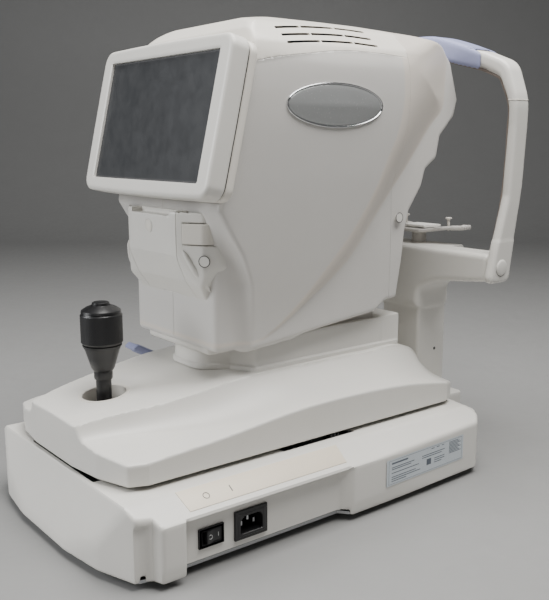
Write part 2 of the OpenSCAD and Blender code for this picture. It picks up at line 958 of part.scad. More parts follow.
module screen_panel() {
  color([0.10, 0.11, 0.13]) stage_part() on_screen()
    translate([0, 0, -7.2]) cube([screen_w + 10, screen_h + 10, 12], center = true);
}

module badges() {
  color([0.70, 0.71, 0.72]) stage_part() pair() translate(badge_pos + [head_w - 3, 0, 0])
    rotate([90, 0, 90]) linear_extrude(3.4) polygon(ellipse(60.6, 20.6, 48));
}

module printer_frame() {
  color(steel) stage_part() {
    difference() {
      union() {
        pair() box([33, -100, 236], [35, -60, 297]);
        box([-33, -64, 236], [33, -62, 242]);
        rod_x(roll_y, roll_z, -33, 33, 6);
      }
      rod_x(platen_y, platen_z, -40, 40, 2.06);
    }
    rod_x(door_y, door_z, -49, 49, 1.5);
  }
}

module main_board() {
  color(board) stage_part() {
    box([-76, -44, 362], [-36, 124, 363.6]);
    for (y = [-20, 20, 60]) box([-66, y, 363.6], [-50, y + 16, 365.4]);
    for (p = [[-72, -40], [-40, -40], [-72, 120], [-40, 120]]) rod_z(p.x, p.y, 356, 362, 2.5);
  }
}

base_plate();
base_housing();
chassis_tray();
rubber_feet();
axle_racks();
friction_plate();
power_supply();
mains_inlet();
inlet_pins();
switch_frame();
power_rocker();
edge_strips();
rating_plate();
data_sockets();
headrest_column();
chin_beam();
headrest_arch();
arch_liner();
forehead_pad();
pivot_caps();
chin_motor();
chin_screw();
chinrest();
chin_paper_pad();
paper_pin_left();
paper_pin_right();
axle_carrier();
cross_axle();
axle_pinions();
deck_cover();
deck_plate();
axle_bushes();
guide_posts();
lift_motor();
lift_screw();
lower_collar();
lock_lever();
gimbal_ring();
joystick_stem();
joystick_grip();
grip_ring();
measure_button();
optical_bench();
upper_collar();
left_cover();
right_cover();
top_cover();
rear_cover();
nose_cover();
printer_door();
door_button();
paper_roll();
platen_roller();
monitor_bezel();
monitor_back();
screen_panel();
badges();
printer_frame();
main_board();
lens_group();
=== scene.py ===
"""Table-top autorefractor: moulded covers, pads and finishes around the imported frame.

Shapes are written in millimetres. STAGE pieces are measured from the head's centre plane and
BASE pieces from the base's centre; placed() turns both into metres in the frame's own axes.
"""
import functools
import itertools
import math

import bmesh
import bpy
import numpy as np
from mathutils import Matrix, Vector


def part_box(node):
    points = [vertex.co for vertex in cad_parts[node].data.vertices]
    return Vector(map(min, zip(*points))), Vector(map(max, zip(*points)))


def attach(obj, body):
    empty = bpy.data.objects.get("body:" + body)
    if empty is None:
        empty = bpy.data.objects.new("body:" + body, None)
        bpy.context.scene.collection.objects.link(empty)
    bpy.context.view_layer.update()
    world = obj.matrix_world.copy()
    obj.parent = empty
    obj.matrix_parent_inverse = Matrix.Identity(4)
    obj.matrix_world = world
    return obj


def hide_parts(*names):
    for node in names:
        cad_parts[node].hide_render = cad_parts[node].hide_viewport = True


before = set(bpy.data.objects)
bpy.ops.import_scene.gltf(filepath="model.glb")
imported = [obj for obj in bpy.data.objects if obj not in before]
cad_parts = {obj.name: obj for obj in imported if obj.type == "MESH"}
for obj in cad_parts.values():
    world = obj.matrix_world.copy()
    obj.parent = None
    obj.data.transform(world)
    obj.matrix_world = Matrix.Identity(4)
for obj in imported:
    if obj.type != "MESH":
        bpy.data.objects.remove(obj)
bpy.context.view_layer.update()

MM = 0.001
STEP = 2.0
COVER_WALL = 2.4
SEAM_GAP = 0.22


def middle(node, axis):
    low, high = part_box(node)
    return (low[axis] + high[axis]) / 2 / MM


# The cross axle lies 20 mm behind the head's centre
Y_SHIFT = middle("cross_axle", 1) - 20
BASE = np.array([0, Y_SHIFT, 0])
STAGE = np.array([middle("deck_cover", 0), Y_SHIFT, 0])


# ---- Outlines and fields ----

def unit(v):
    v = np.asarray(v, float)
    return v / np.linalg.norm(v)


def outline(points, steps=6):
    """Closed outline; a point with a third number has its corner rounded to that radius."""
    result = []
    for i, p in enumerate(points):
        corner = np.array(p[:2], float)
        if len(p) < 3:
            result.append(corner)
            continue
        back = unit(np.array(points[i - 1][:2]) - corner)
        ahead = unit(np.array(points[(i + 1) % len(points)][:2]) - corner)
        half = math.acos(np.clip(back @ ahead, -1, 1)) / 2
        centre = corner + unit(back + ahead) * p[2] / math.sin(half)
        start = corner + back * p[2] / math.tan(half) - centre
        end = corner + ahead * p[2] / math.tan(half) - centre
        first = math.atan2(start[1], start[0])
        turn = (math.atan2(end[1], end[0]) - first + math.pi) % math.tau - math.pi
        for k in range(steps + 1):
            a = first + turn * k / steps
            result.append(centre + p[2] * np.array([math.cos(a), math.sin(a)]))
    return result


def mirrored(points):
    """A half outline with x > 0, completed by its mirror image."""
    return list(points) + [(-p[0], *p[1:]) for p in reversed(points)]


def spline(points, per=5):
    """Smooth line through the points."""
    p = np.array(points, float)
    p = np.vstack([2 * p[0] - p[1], p, 2 * p[-1] - p[-2]])
    result = []
    for i in range(1, len(p) - 2):
        for t in np.arange(per) / per:
            a, b, c, d = p[i - 1:i + 3]
            result.append(0.5 * (2 * b + (c - a) * t + (2 * a - 5 * b + 4 * c - d) * t ** 2
                                 + (3 * b - a - 3 * c + d) * t ** 3))
    result.append(p[-2])
    return result


def curve(x, knots):
    """Smooth function of x through the knots, level beyond the last ones."""
    xs, ys = np.array(knots, float).T
    slope = np.gradient(ys, xs)
    i = np.clip(np.searchsorted(xs, x) - 1, 0, len(xs) - 2)
    h = xs[i + 1] - xs[i]
    t = np.clip((x - xs[i]) / h, 0, 1)
    return (ys[i] * (1 + 2 * t) * (1 - t) ** 2 + slope[i] * h * t * (1 - t) ** 2
            + ys[i + 1] * t ** 2 * (3 - 2 * t) + slope[i + 1] * h * t ** 2 * (t - 1))


def poly(u, v, points):
    """Signed distance to a closed outline, negative inside."""
    best = sign = None
    for i in range(len(points)):
        (ax, ay), (bx, by) = points[i], points[i - 1]
        ex, ey, wx, wy = bx - ax, by - ay, u - ax, v - ay
        t = np.clip((wx * ex + wy * ey) / (ex * ex + ey * ey), 0, 1)
        square = (wx - ex * t) ** 2 + (wy - ey * t) ** 2
        above, below, left = v >= ay, v < by, ex * wy > ey * wx
        flip = (above & below & left) | (~above & ~below & ~left)
        best = square if best is None else np.minimum(best, square)
        sign = np.where(flip, -1., 1.) if sign is None else np.where(flip, -sign, sign)
    return sign * np.sqrt(best)


def both(r, *fields):
    """Where all the fields are inside, with outer edges rounded to r."""
    top = functools.reduce(np.maximum, fields)
    return np.minimum(top, -r) + np.sqrt(sum(np.maximum(d + r, 0) ** 2 for d in fields))


def either(r, *fields):
    """Where any field is inside, with inner corners filled to r."""
    return -both(r, *[-d for d in fields])


def less(r, field, *cuts):
    """A field without the cuts, with rounded edges."""
    return both(r, field, *[-c for c in cuts])


def block(x, y, z, low, high, r=0.0):
    sides = [low[0] - x, x - high[0], low[1] - y, y - high[1], low[2] - z, z - high[2]]
    return both(r, *sides) if r else functools.reduce(np.maximum, sides)


# ---- Meshes ----

def surface(f, low, high, step=STEP):
    """Vertices and quads of the surface where f is nought, in mm."""
    axes = [np.arange(a - 2 * step, b + 3 * step, step) for a, b in zip(low, high)]
    size = [len(a) for a in axes]
    d = np.broadcast_to(f(*np.meshgrid(*axes, indexing="ij", sparse=True)), size)
    inside = d < 0
    cells = [n - 1 for n in size]
    total, count = np.zeros(cells + [3]), np.zeros(cells)
    for axis in range(3):
        others = [(axis + 1) % 3, (axis + 2) % 3]
        for offsets in itertools.product((0, 1), repeat=2):
            near = [slice(0, -1)] * 3
            for other, o in zip(others, offsets):
                near[other] = slice(o, cells[other] + o)
            far = list(near)
            far[axis] = slice(1, None)
            near, far = tuple(near), tuple(far)
            cross = inside[near] != inside[far]
            gap = np.where(cross, d[near] - d[far], 1)
            total[..., axis] += cross * d[near] / gap
            for other, o in zip(others, offsets):
                total[..., other] += cross * o
            count += cross
    used = np.nonzero(count)
    v = np.stack([axes[k][used[k]] for k in range(3)], 1) + step * total[used] / count[used][:, None]
    index = np.full(cells, -1)
    index[used] = np.arange(len(v))
    faces = []
    for axis in range(3):
        others = [(axis + 1) % 3, (axis + 2) % 3]
        near = [slice(1, -1)] * 3
        near[axis] = slice(0, -1)
        far = list(near)
        far[axis] = slice(1, None)
        near, far = tuple(near), tuple(far)
        where = np.array(np.nonzero(inside[near] != inside[far]))
        outward = inside[near][tuple(where)]
        ring = []
        for a, b in ((0, 0), (1, 0), (1, 1), (0, 1)):
            cell = where.copy()
            cell[others[0]] += a
            cell[others[1]] += b
            ring.append(index[tuple(cell)])
        quad = np.stack(ring, 1)
        faces.append(np.where(outward[:, None], quad, quad[:, ::-1]))
    return settle(f, v, step), np.vstack(faces)


def settle(f, v, step):
    """Moves the points onto the surface along its own slope."""
    h = 0.05
    for _ in range(3):
        value = f(*v.T)
        slope = np.stack([f(*(v + h * e).T) - value for e in np.eye(3)], 1) / h
        move = value[:, None] * slope / np.maximum((slope ** 2).sum(1), 0.05)[:, None]
        far = np.linalg.norm(move, axis=1)[:, None]
        v = v - move * np.minimum(1, 0.6 * step / np.maximum(far, 1e-9))
    return v


def placed(v, shift):
    return (np.asarray(v, float) + shift) * MM


def add(name, shape, shift, body, material, stands_for=(), sharp=34):
    """A new piece from (vertices in mm, faces), riding on a body."""
    v, faces = shape
    data = bpy.data.meshes.new(name)
    data.from_pydata(placed(v, shift).tolist(), [], [list(map(int, f)) for f in faces])
    data.validate()
    data.shade_smooth()
    data.set_sharp_from_angle(angle=math.radians(sharp))
    obj = bpy.data.objects.new(name, data)
    bpy.context.scene.collection.objects.link(obj)
    data.materials.append(material)
    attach(obj, body)
    if stands_for:
        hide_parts(*([stands_for] if isinstance(stands_for, str) else stands_for))
    return obj


def join(*shapes):
    v, faces, start = [], [], 0
    for points, ring in shapes:
        v.append(np.asarray(points, float))
        faces += [[i + start for i in f] for f in ring]
        start += len(points)
    return np.vstack(v), faces


def moved(shape, matrix):
    v = np.asarray(shape[0], float)
    m = np.array(matrix)
    return v @ m[:3, :3].T + m[:3, 3], shape[1]


def lathe(profile, n=64):
    """Turned shape about Z from (radius, height) points, closed on the axis where radius is 0."""
    v, faces, rows = [], [], []
    for r, z in profile:
        if r < 1e-6:
            rows.append([len(v)])
            v.append((0, 0, z))
        else:
            rows.append(list(range(len(v), len(v) + n)))
            v += [(r * math.cos(math.tau * k / n), r * math.sin(math.tau * k / n), z) for k in range(n)]
    for a, b in zip(rows, rows[1:]):
        for k in range(n):
            ring = [a[k % len(a)], a[(k + 1) % len(a)], b[(k + 1) % len(b)], b[k % len(b)]]
            ring = [i for j, i in enumerate(ring) if i != ring[j - 1]]
            if len(ring) > 2:
                faces.append(ring)
    return np.array(v), faces


def prism(points, depth, bevel=0.0, low=0.0):
    """Outline in XY made solid along Z from low to low + depth, with its rims bevelled."""
    p = np.array(points, float)
    area = np.sum(p[:, 0] * np.roll(p[:, 1], -1) - p[:, 1] * np.roll(p[:, 0], -1))
    if area < 0:
        p = p[::-1]
    ahead, back = np.roll(p, -1, 0) - p, p - np.roll(p, 1, 0)
    ahead /= np.linalg.norm(ahead, axis=1)[:, None]
    back /= np.linalg.norm(back, axis=1)[:, None]
    normal = np.stack([-(ahead + back)[:, 1], (ahead + back)[:, 0]], 1)
    normal /= np.maximum((normal ** 2).sum(1) / 2, 0.2)[:, None]
    levels = [(bevel, 0), (bevel * 0.3, bevel * 0.3), (0, bevel), (0, depth - bevel),
              (bevel * 0.3, depth - bevel * 0.3), (bevel, depth)] if bevel else [(0, 0), (0, depth)]
    v = np.vstack([np.column_stack([p + normal * inset, np.full(len(p), low + z)]) for inset, z in levels])
    n = len(p)
    faces = [[r * n + k, r * n + (k + 1) % n, (r + 1) * n + (k + 1) % n, (r + 1) * n + k]
             for r in range(len(levels) - 1) for k in range(n)]
    faces.append(list(range(n))[::-1])
    faces.append([(len(levels) - 1) * n + k for k in range(n)])
    return v, faces


def rounded_rectangle(w, h, r, steps=6):
    return outline([(w, -h, r), (w, h, r), (-w, h, r), (-w, -h, r)], steps)


def tube(path, radius, n=12, squash=1.0):
    """Round bar along a path; radius is one number or one for each point."""
    p = np.array(path, float)
    radii = np.broadcast_to(radius, len(p))
    tangent = np.gradient(p, axis=0)
    tangent /= np.linalg.norm(tangent, axis=1)[:, None]
    side = np.cross(tangent, [0.31, 0.17, 0.94])
    side /= np.linalg.norm(side, axis=1)[:, None]
    up = np.cross(side, tangent)
    angles = math.tau * np.arange(n) / n
    v = np.vstack([c + r * (np.outer(np.cos(angles), s) + squash * np.outer(np.sin(angles), u))
                   for c, r, s, u in zip(p, radii, side, up)])
    faces = [[i * n + k, (i + 1) * n + k, (i + 1) * n + (k + 1) % n, i * n + (k + 1) % n]
             for i in range(len(p) - 1) for k in range(n)]
    faces.append(list(range(n)))
    faces.append([(len(p) - 1) * n + k for k in range(n)][::-1])
    return v, faces


def torus(radius, thick, n=56, m=10):
    profile = [(radius + thick * math.cos(math.tau * k / m),
                thick * math.sin(math.tau * k / m)) for k in range(m + 1)]
    v, faces = lathe(profile[:-1], n)
    last = (m - 1) * n
    faces += [[last + k, last + (k + 1) % n, (k + 1) % n, k] for k in range(n)]
    return v, faces


def facing(centre, normal, up=(0, 0, 1)):
    """Matrix that puts a shape's origin at centre with its Z along normal."""
    z = unit(normal)
    x = unit(np.cross(up, z)) if abs(z @ unit(up)) < 0.99 else np.array([1., 0, 0])
    y = np.cross(z, x)
    m = np.eye(4)
    m[:3, 0], m[:3, 1], m[:3, 2], m[:3, 3] = x, y, z, centre
    return m


def upright(x, y, z):
    """Placement of a turned part that stands straight up."""
    return facing((x, y, z), (0, 0, 1), (1, 0, 0))


def slide(bm, axis, level, sign):
    """Moves every vertex by the level found at its place."""
    place = np.array([vert.co[:] for vert in bm.verts])
    heights = np.broadcast_to(level(*place.T) if callable(level) else level, len(place))
    for vert, height in zip(bm.verts, heights):
        vert.co[axis] += sign * height


def split(shape, planes):
    """Cuts new edges into the faces where a coordinate passes each level, a number or a function."""
    bm = bmesh.new()
    verts = [bm.verts.new(p) for p in shape[0]]
    for f in shape[1]:
        bm.faces.new([verts[i] for i in f])
    for axis, level in planes:
        normal = [0, 0, 0]
        normal[axis] = 1
        slide(bm, axis, level, -1)
        bmesh.ops.bisect_plane(bm, geom=bm.verts[:] + bm.edges[:] + bm.faces[:], dist=1e-4,
                               plane_co=(0, 0, 0), plane_no=normal)
        slide(bm, axis, level, 1)
    bm.verts.index_update()
    result = np.array([p.co[:] for p in bm.verts]), [[p.index for p in f.verts] for f in bm.faces]
    bm.free()
    return result


def kept(shape, test):
    """The faces whose centre passes the test, with the vertices that they need."""
    v, faces = shape
    flat = np.fromiter(itertools.chain.from_iterable(faces), int)
    sizes = np.array([len(f) for f in faces])
    centres = np.add.reduceat(v[flat], np.cumsum(sizes) - sizes) / sizes[:, None]
    chosen = [f for f, passed in zip(faces, test(*centres.T)) if passed]
    used = np.unique(np.fromiter(itertools.chain.from_iterable(chosen), int))
    number = np.full(len(v), -1)
    number[used] = np.arange(len(used))
    return v[used], [number[f].tolist() for f in chosen]


def thicken(obj, wall):
    mod = obj.modifiers.new("wall", "SOLIDIFY")
    mod.thickness = wall * MM
    mod.offset = -1
    return obj


def bake(obj):
    """Applies the modifiers."""
    bpy.context.view_layer.update()
    done = obj.evaluated_get(bpy.context.evaluated_depsgraph_get())
    data = bpy.data.meshes.new_from_object(done)
    obj.modifiers.clear()
    obj.data = data
    return obj


def carve(obj, cutter, shift):
    """Takes a closed shape, in mm, out of a closed piece."""
    data = bpy.data.meshes.new("cutter")
    data.from_pydata(placed(cutter[0], shift).tolist(), [], [list(map(int, f)) for f in cutter[1]])
    tool = bpy.data.objects.new("cutter", data)
    bpy.context.scene.collection.objects.link(tool)
    mod = obj.modifiers.new("carve", "BOOLEAN")
    mod.object = tool
    mod.operation = "DIFFERENCE"
    mod.solver = "EXACT"
    bake(obj)
    bpy.data.objects.remove(tool)
    obj.data.set_sharp_from_angle(angle=math.radians(34))
    return obj


def colour_field(obj, name, value, shift):
    """Stores value(x, y, z), in mm, at every vertex for the materials."""
    v = np.zeros(len(obj.data.vertices) * 3)
    obj.data.vertices.foreach_get("co", v)
    v = v.reshape(-1, 3) / MM - shift
    field = obj.data.attributes.new(name, "FLOAT", "POINT")
    field.data.foreach_set("value", value(*v.T).astype(np.float32))


# ---- Materials ----

def node_material(name):
    m = bpy.data.materials.new(name)
    m.use_nodes = True
    tree = m.node_tree
    return m, tree, tree.nodes["Principled BSDF"]


def noise(tree, scale, detail=3.0, rough=0.5, stretch=None):
    coords = tree.nodes.new("ShaderNodeTexCoord")
    source = coords.outputs["Object"]
    if stretch:
        mapping = tree.nodes.new("ShaderNodeMapping")
        mapping.inputs["Scale"].default_value = stretch
        tree.links.new(source, mapping.inputs["Vector"])
        source = mapping.outputs["Vector"]
    n = tree.nodes.new("ShaderNodeTexNoise")
    n.inputs["Scale"].default_value = scale
    n.inputs["Detail"].default_value = detail
    n.inputs["Roughness"].default_value = rough
    tree.links.new(source, n.inputs["Vector"])
    return n.outputs["Fac"]


def spread(tree, source, low, high, start=0.3, end=0.7):
    n = tree.nodes.new("ShaderNodeMapRange")
    n.inputs["From Min"].default_value = start
    n.inputs["From Max"].default_value = end
    n.inputs["To Min"].default_value = low
    n.inputs["To Max"].default_value = high
    tree.links.new(source, n.inputs["Value"])
    return n.outputs["Result"]


def mix(tree, factor, a, b):
    n = tree.nodes.new("ShaderNodeMix")
    n.data_type = "RGBA"
    tree.links.new(factor, n.inputs["Factor"])
    for socket, value in zip((n.inputs[6], n.inputs[7]), (a, b)):
        if isinstance(value, tuple):
            socket.default_value = (*value, 1)
        else:
            tree.links.new(value, socket)
    return n.outputs[2]


def shade(colour, k):
    return tuple(c * k for c in colour)


def finish(name, colour, rough=0.4, grain=900, bump=0.25, tone=0.05, metal=0.0, coat=0.0, stretch=None,
           depth=0.05, specular=0.5):
    """A finish with faint cloudy tone, grain in its gloss, and a fine surface texture."""
    m, tree, shader = node_material(name)
    cloud = noise(tree, 14, 4, 0.6)
    fine = noise(tree, grain, 2, 0.6, stretch)
    tones = mix(tree, spread(tree, cloud, 0, 1), shade(colour, 1 - tone), shade(colour, 1 + tone * 0.6))
    tree.links.new(tones, shader.inputs["Base Color"])
    tree.links.new(spread(tree, fine, rough - 0.06, rough + 0.06), shader.inputs["Roughness"])
    shader.inputs["Metallic"].default_value = metal
    shader.inputs["Coat Weight"].default_value = coat
    shader.inputs["Coat Roughness"].default_value = 0.12
    shader.inputs["Specular IOR Level"].default_value = specular
    relief = tree.nodes.new("ShaderNodeBump")
    relief.inputs["Strength"].default_value = bump
    relief.inputs["Distance"].default_value = depth * MM
    tree.links.new(fine, relief.inputs["Height"])
    tree.links.new(relief.outputs["Normal"], shader.inputs["Normal"])
    return m


def pearl(name, silver, cream, width=1.6):
    """Silver panel paint that gives way to cream where the stored field passes nought."""
    m = finish(name, silver, 0.34, 1500, 0.12, 0.025)
    tree = m.node_tree
    shader = tree.nodes["Principled BSDF"]
    field = tree.nodes.new("ShaderNodeAttribute")
    field.attribute_name = "panel"
    old = shader.inputs["Base Color"].links[0].from_socket
    factor = spread(tree, field.outputs["Fac"], 0, 1, -width, width)
    tree.links.new(mix(tree, factor, old, cream), shader.inputs["Base Color"])
    shader.inputs["Sheen Weight"].default_value = 0.08
    return m


IVORY = (0.70, 0.685, 0.645)
WARM = (0.73, 0.70, 0.64)
SILVER = (0.60, 0.585, 0.56)
CREAM = (0.74, 0.665, 0.54)
LILAC = (0.27, 0.29, 0.46)

ivory = finish("ivory_moulding", IVORY, 0.36, 1300, 0.16, 0.03)
cream = finish("cream_moulding", CREAM, 0.42, 1300, 0.16, 0.03)
warm = finish("warm_moulding", WARM, 0.34, 1300, 0.14, 0.03)
pearl_paint = pearl("pearl_paint", SILVER, (0.66, 0.61, 0.55))
pearl_grey = finish("pearl_grey", (0.56, 0.54, 0.51), 0.36, 1300, 0.14, 0.03)
black = finish("black_moulding", (0.012, 0.012, 0.013), 0.34, 1600, 0.4, 0.3)
black_rubber = finish("black_rubber", (0.014, 0.014, 0.014), 0.6, 1200, 0.5, 0.25, depth=0.1)
charcoal = finish("charcoal_plastic", (0.045, 0.045, 0.048), 0.45, 1400, 0.4, 0.2)
lilac = finish("lilac_pad", LILAC, 0.5, 1700, 0.4, 0.06, depth=0.08)
dark_steel = finish("oiled_steel", (0.09, 0.09, 0.095), 0.42, 500, 0.3, 0.08, 1.0, stretch=(1, 12, 1))
steel = finish("ground_steel", (0.45, 0.46, 0.47), 0.32, 500, 0.3, 0.08, 1.0, stretch=(1, 12, 1))
shaft = finish("polished_shaft", (0.62, 0.63, 0.65), 0.14, 700, 0.1, 0.04, 1.0, stretch=(1, 1, 20))
alloy = finish("cast_alloy", (0.46, 0.47, 0.48), 0.5, 700, 0.6, 0.08, 1.0, depth=0.12)
paper = finish("paper", (0.80, 0.79, 0.75), 0.75, 900, 0.4, 0.03)
liner = finish("brown_liner", (0.24, 0.20, 0.175), 0.55, 1300, 0.3, 0.08)
circuit = finish("circuit_lacquer", (0.02, 0.10, 0.045), 0.3, 260, 0.3, 0.35)
lens_finish = finish("lens_black", (0.010, 0.010, 0.014), 0.16, 900, 0.15, 0.3, coat=0.5)
chrome = finish("badge_chrome", (0.62, 0.63, 0.64), 0.16, 900, 0.06, 0.03, 1.0)
badge_face = finish("badge_face", (0.40, 0.41, 0.41), 0.22, 700, 0.1, 0.05, 0.35, coat=0.8)
glass = finish("screen_glass", (0.036, 0.038, 0.041), 0.36, 60, 0.02, 0.04, specular=0.35)
mark = finish("printed_mark", (0.10, 0.10, 0.10), 0.5, 900, 0.1, 0.05)
pale_mark = finish("pale_mark", (0.55, 0.55, 0.55), 0.5, 900, 0.1, 0.05)
label_face = finish("label_face", (0.58, 0.63, 0.67), 0.3, 900, 0.08, 0.03)
label_ink = finish("label_ink", (0.10, 0.12, 0.15), 0.4, 900, 0.05, 0.05)

CAD_FINISHES = {
    steel: ["base_plate", "deck_plate", "printer_frame", "inlet_pins", "gimbal_ring"],
    alloy: ["chassis_tray", "power_supply", "axle_carrier", "axle_bushes", "optical_bench"],
    dark_steel: ["axle_racks", "axle_pinions"],
    shaft: ["chin_screw", "cross_axle", "guide_posts", "lift_screw"],
    charcoal: ["friction_plate", "chin_motor", "lift_motor", "data_sockets"],
    black: ["switch_frame", "joystick_stem"],
    black_rubber: ["platen_roller"],
    paper: ["paper_roll", "chin_paper_pad"],
    circuit: ["main_board"],
    lens_finish: ["lens_group"],
    pearl_paint: ["upper_collar"],
    glass: ["screen_panel"],
}
for material, names in CAD_FINISHES.items():
    for name in names:
        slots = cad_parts[name].data.materials
        slots.clear()
        slots.append(material)


# ---- Head ----

EYE_Z = middle("lens_group", 2)
HEAD_SIDE = outline([
    (-58.4, 169), (108, 186), (124, 197, 5), (141, 198, 2), (148, 242), (151, 270), (158, 294), (177, 319, 8),
    (184, 338, 8), (202, 350, 6), (209, 374, 8), (233, 396, 8), (240, 415, 3), (229, 456, 16), (212, 473, 24),
    (160, 483, 60), (100, 489.5, 90), (50, 491), (-10, 490, 60), (-52, 482, 16), (-64.6, 470, 6),
    (-103.6, 306, 6), (-93, 288.6, 12), (-76.5, 263, 20), (-65, 235, 20), (-61.5, 209),
])
HEAD_FRONT = outline(mirrored([(86, 150), (101, 260), (112, 340), (115, 400), (115, 439, 10),
                               (104, 459, 14), (84, 478, 24), (50, 488, 60), (20, 491)]))
CREST = spline([(119, 447), (119, 426), (118, 405), (110.7, 376), (97.7, 348), (82.7, 317), (59.5, 281),
                (35.8, 253), (7.8, 222.6), (-17.6, 199), (-40, 182), (-60, 176.5)])
FOOT = spline([(221, 456), (217, 430), (212, 404), (190, 384), (150, 340), (119, 308), (93, 277.5), (69, 250),
               (45, 231), (13, 210), (-15, 193), (-47, 177)])
PANEL = [(119, 540)] + CREST + [(-110, 178), (-300, 178), (-300, 540)]
REAR = [(221, 540)] + FOOT + [(-66, 173.5), (-300, 173.5), (-300, 60), (500, 60), (500, 540)]
TOP_SEAM = [(-110, 426), (-69, 439), (-2, 450), (38, 454.5), (80, 455), (118, 453.5), (150, 452)]
REAR_SEAM = 128


# The head comes down 15 mm, and its cavity leaves a little more room
HEAD_DROP = 15.5


def column_path(u, y, z):
    """Space that the silver column slides in when the head comes down."""
    return block(u, y, z, (-10, -38, 100), (66, 128, 180))


def panel_edge(y, z):
    return poly(y, z, PANEL)


def head_width(y, z):
    """Half width of the head: side panel, falling band behind its crest, narrow rear."""
    ahead, behind = np.maximum(panel_edge(y, z), 0), np.maximum(poly(y, z, REAR), 0)
    t = ahead / np.maximum(ahead + behind, 1e-6)
    front = curve(z, [(150, 88), (180, 90), (260, 101), (340, 109.5), (395, 113), (420, 112.9), (442, 111),
                      (458, 107.5), (480, 101)])
    front = front - curve(y, [(-112, 10), (-60, 4), (0, 0.3), (40, 0), (80, 0.4), (119, 1.5), (150, 2)])
    sunk = np.clip((curve(y, TOP_SEAM) - z) / 1.6, 0, 1) * np.clip((112 - y) / 12, 0, 1)
    rear = curve(z, [(150, 87), (200, 86.5), (250, 87.5), (300, 87), (350, 85), (408, 81), (456, 78)])
    fall = 1.15 * t ** 1.7 - 0.15 * t ** 8
    return front - 0.8 * sunk + (rear - front) * fall


def head(x, y, z):
    u = np.abs(x)
    body = both(4, poly(y, z, HEAD_SIDE), poly(u, z, HEAD_FRONT), u - head_width(y, z))
    neck = block(u, y, z, (-10, -95, 168), (75, 0, 330), 6)
    body = either(16, body, neck)
    window = np.maximum(np.hypot(x, z - EYE_Z) - 28.4, 150 - y)
    skirt = block(u, y, z, (-10, -53, 100), (80, 140, 176 + HEAD_DROP))
    return less(1.2, body, window, skirt)


def slots_shape():
    """The three curved cooling slots of one side, each with two bridges."""
    shapes = []
    for row, (z, start, end) in enumerate([(473.4, -35, 86), (466, -33, 88), (458.8, -31, 90)]):
        joints = [start, start + 34 + 5 * row, start + 80 + 4 * row, end]
        for a, b in zip(joints, joints[1:]):
            ys = np.linspace(a + 0.9, b - 0.9, 9)
            rise = z + curve(ys, [(-50, -3.4), (-20, 0.2), (20, 3.4), (55, 4.4), (90, 3.2)])
            strip = [(y, s - 1.1) for y, s in zip(ys, rise)]
            strip += [(y, s + 1.1) for y, s in zip(ys[::-1], rise[::-1])]
            for x0 in (66, -126):
                v, faces = prism(strip, 60)
                shapes.append((v[:, [2, 0, 1]] + [x0, 0, 0], faces))
    return join(*shapes)


def build_head():
    seam = lambda y: curve(y, TOP_SEAM)
    gap = SEAM_GAP
    planes = [(0, -gap), (0, gap), (2, lambda x, y, z: seam(y) - gap), (2, lambda x, y, z: seam(y) + gap),
              (1, REAR_SEAM - gap), (1, REAR_SEAM + gap)]
    skin = split(surface(head, (-116, -108, 168), (116, 241, 492)), planes)
    edge = gap * 0.7
    covers = {
        "right_cover": lambda x, y, z: (x > edge) & (y < REAR_SEAM - edge) & (z < seam(y) - edge),
        "left_cover": lambda x, y, z: (x < -edge) & (y < REAR_SEAM - edge) & (z < seam(y) - edge),
        "top_cover": lambda x, y, z: (y < REAR_SEAM - edge) & (z > seam(y) + edge),
        "rear_cover": lambda x, y, z: y > REAR_SEAM + edge,
    }
    for name, test in covers.items():
        top = name == "top_cover"
        obj = add(name + "_skin", kept(skin, test), STAGE, "head", warm if top else pearl_paint, name)
        bake(thicken(obj, COVER_WALL))
        if top:
            carve(obj, slots_shape(), STAGE)
        else:
            colour_field(obj, "panel", lambda x, y, z: np.minimum(panel_edge(y, z), poly(y, z, REAR)), STAGE)


def build_badges():
    """Oval badge on each side: a raised bright rim around a domed plain face."""
    y0, z0 = 25, 402.5
    long, tall = 61.5, 21.5
    flat = 0.72
    turns = np.linspace(0, math.tau, 96, endpoint=False)
    n = len(turns)
    for side, label in ((1, "right"), (-1, "left")):
        def shell(profile):
            rings = []
            for scale, height in profile:
                rise = (tall - long * (1 - max(scale, flat))) * min(scale / flat, 1)
                y, z = y0 + scale * long * np.cos(turns), z0 + rise * np.sin(turns)
                rings.append(np.column_stack([side * (head_width(y, z) + height), y, z]))
            faces = [[r * n + i, r * n + (i + 1) % n, (r + 1) * n + (i + 1) % n, (r + 1) * n + i][::side]
                     for r in range(len(profile) - 1) for i in range(n)]
            faces.append([(len(profile) - 1) * n + i for i in range(n)][::side])
            return np.vstack(rings), faces

        rim = shell([(1.0, -0.6), (1.0, 0.8), (0.994, 1.5), (0.985, 1.8), (0.974, 1.6), (0.966, 0.8),
                     (0.96, 0.3)])
        face = shell([(0.968, 0.1), (0.962, 0.8), (0.95, 1.2), (0.9, 1.6), (0.8, 2.0), (0.6, 2.3),
                      (0.4, 2.45), (0.2, 2.5), (0.04, 2.52)])
        add("badge_rim_" + label, rim, STAGE, "head", chrome, "badges", 60)
        add("badge_face_" + label, face, STAGE, "head", badge_face, (), 60)


def build_plugs():
    """Round screw plugs: a flush cap in a charcoal ring that is painted shade for the gap round it."""
    places = {"nose_right": ((71.5, -103.6, 258), (0.62, -0.78, 0)),
              "nose_left": ((-71.5, -103.6, 258), (-0.62, -0.78, 0)),
              "rear_right": ((90.9, 137.5, 287), (1, 0.03, 0.02)),
              "rear_left": ((-90.9, 137.5, 287), (-1, 0.03, 0.02)),}
    for name, (centre, normal) in places.items():
        at = facing(centre, normal)
        add("plug_" + name, moved(lathe([(0, 0.35), (4.6, 0.3), (5.0, 0), (5.0, -1.5), (0, -1.5)], 40), at),
            STAGE, "head", ivory)
        # The charcoal ring is painted shade: it darkens the gap line round the cap.
        add("plug_gap_shade_" + name, moved(torus(5.35, 0.35), at), STAGE, "head", charcoal)


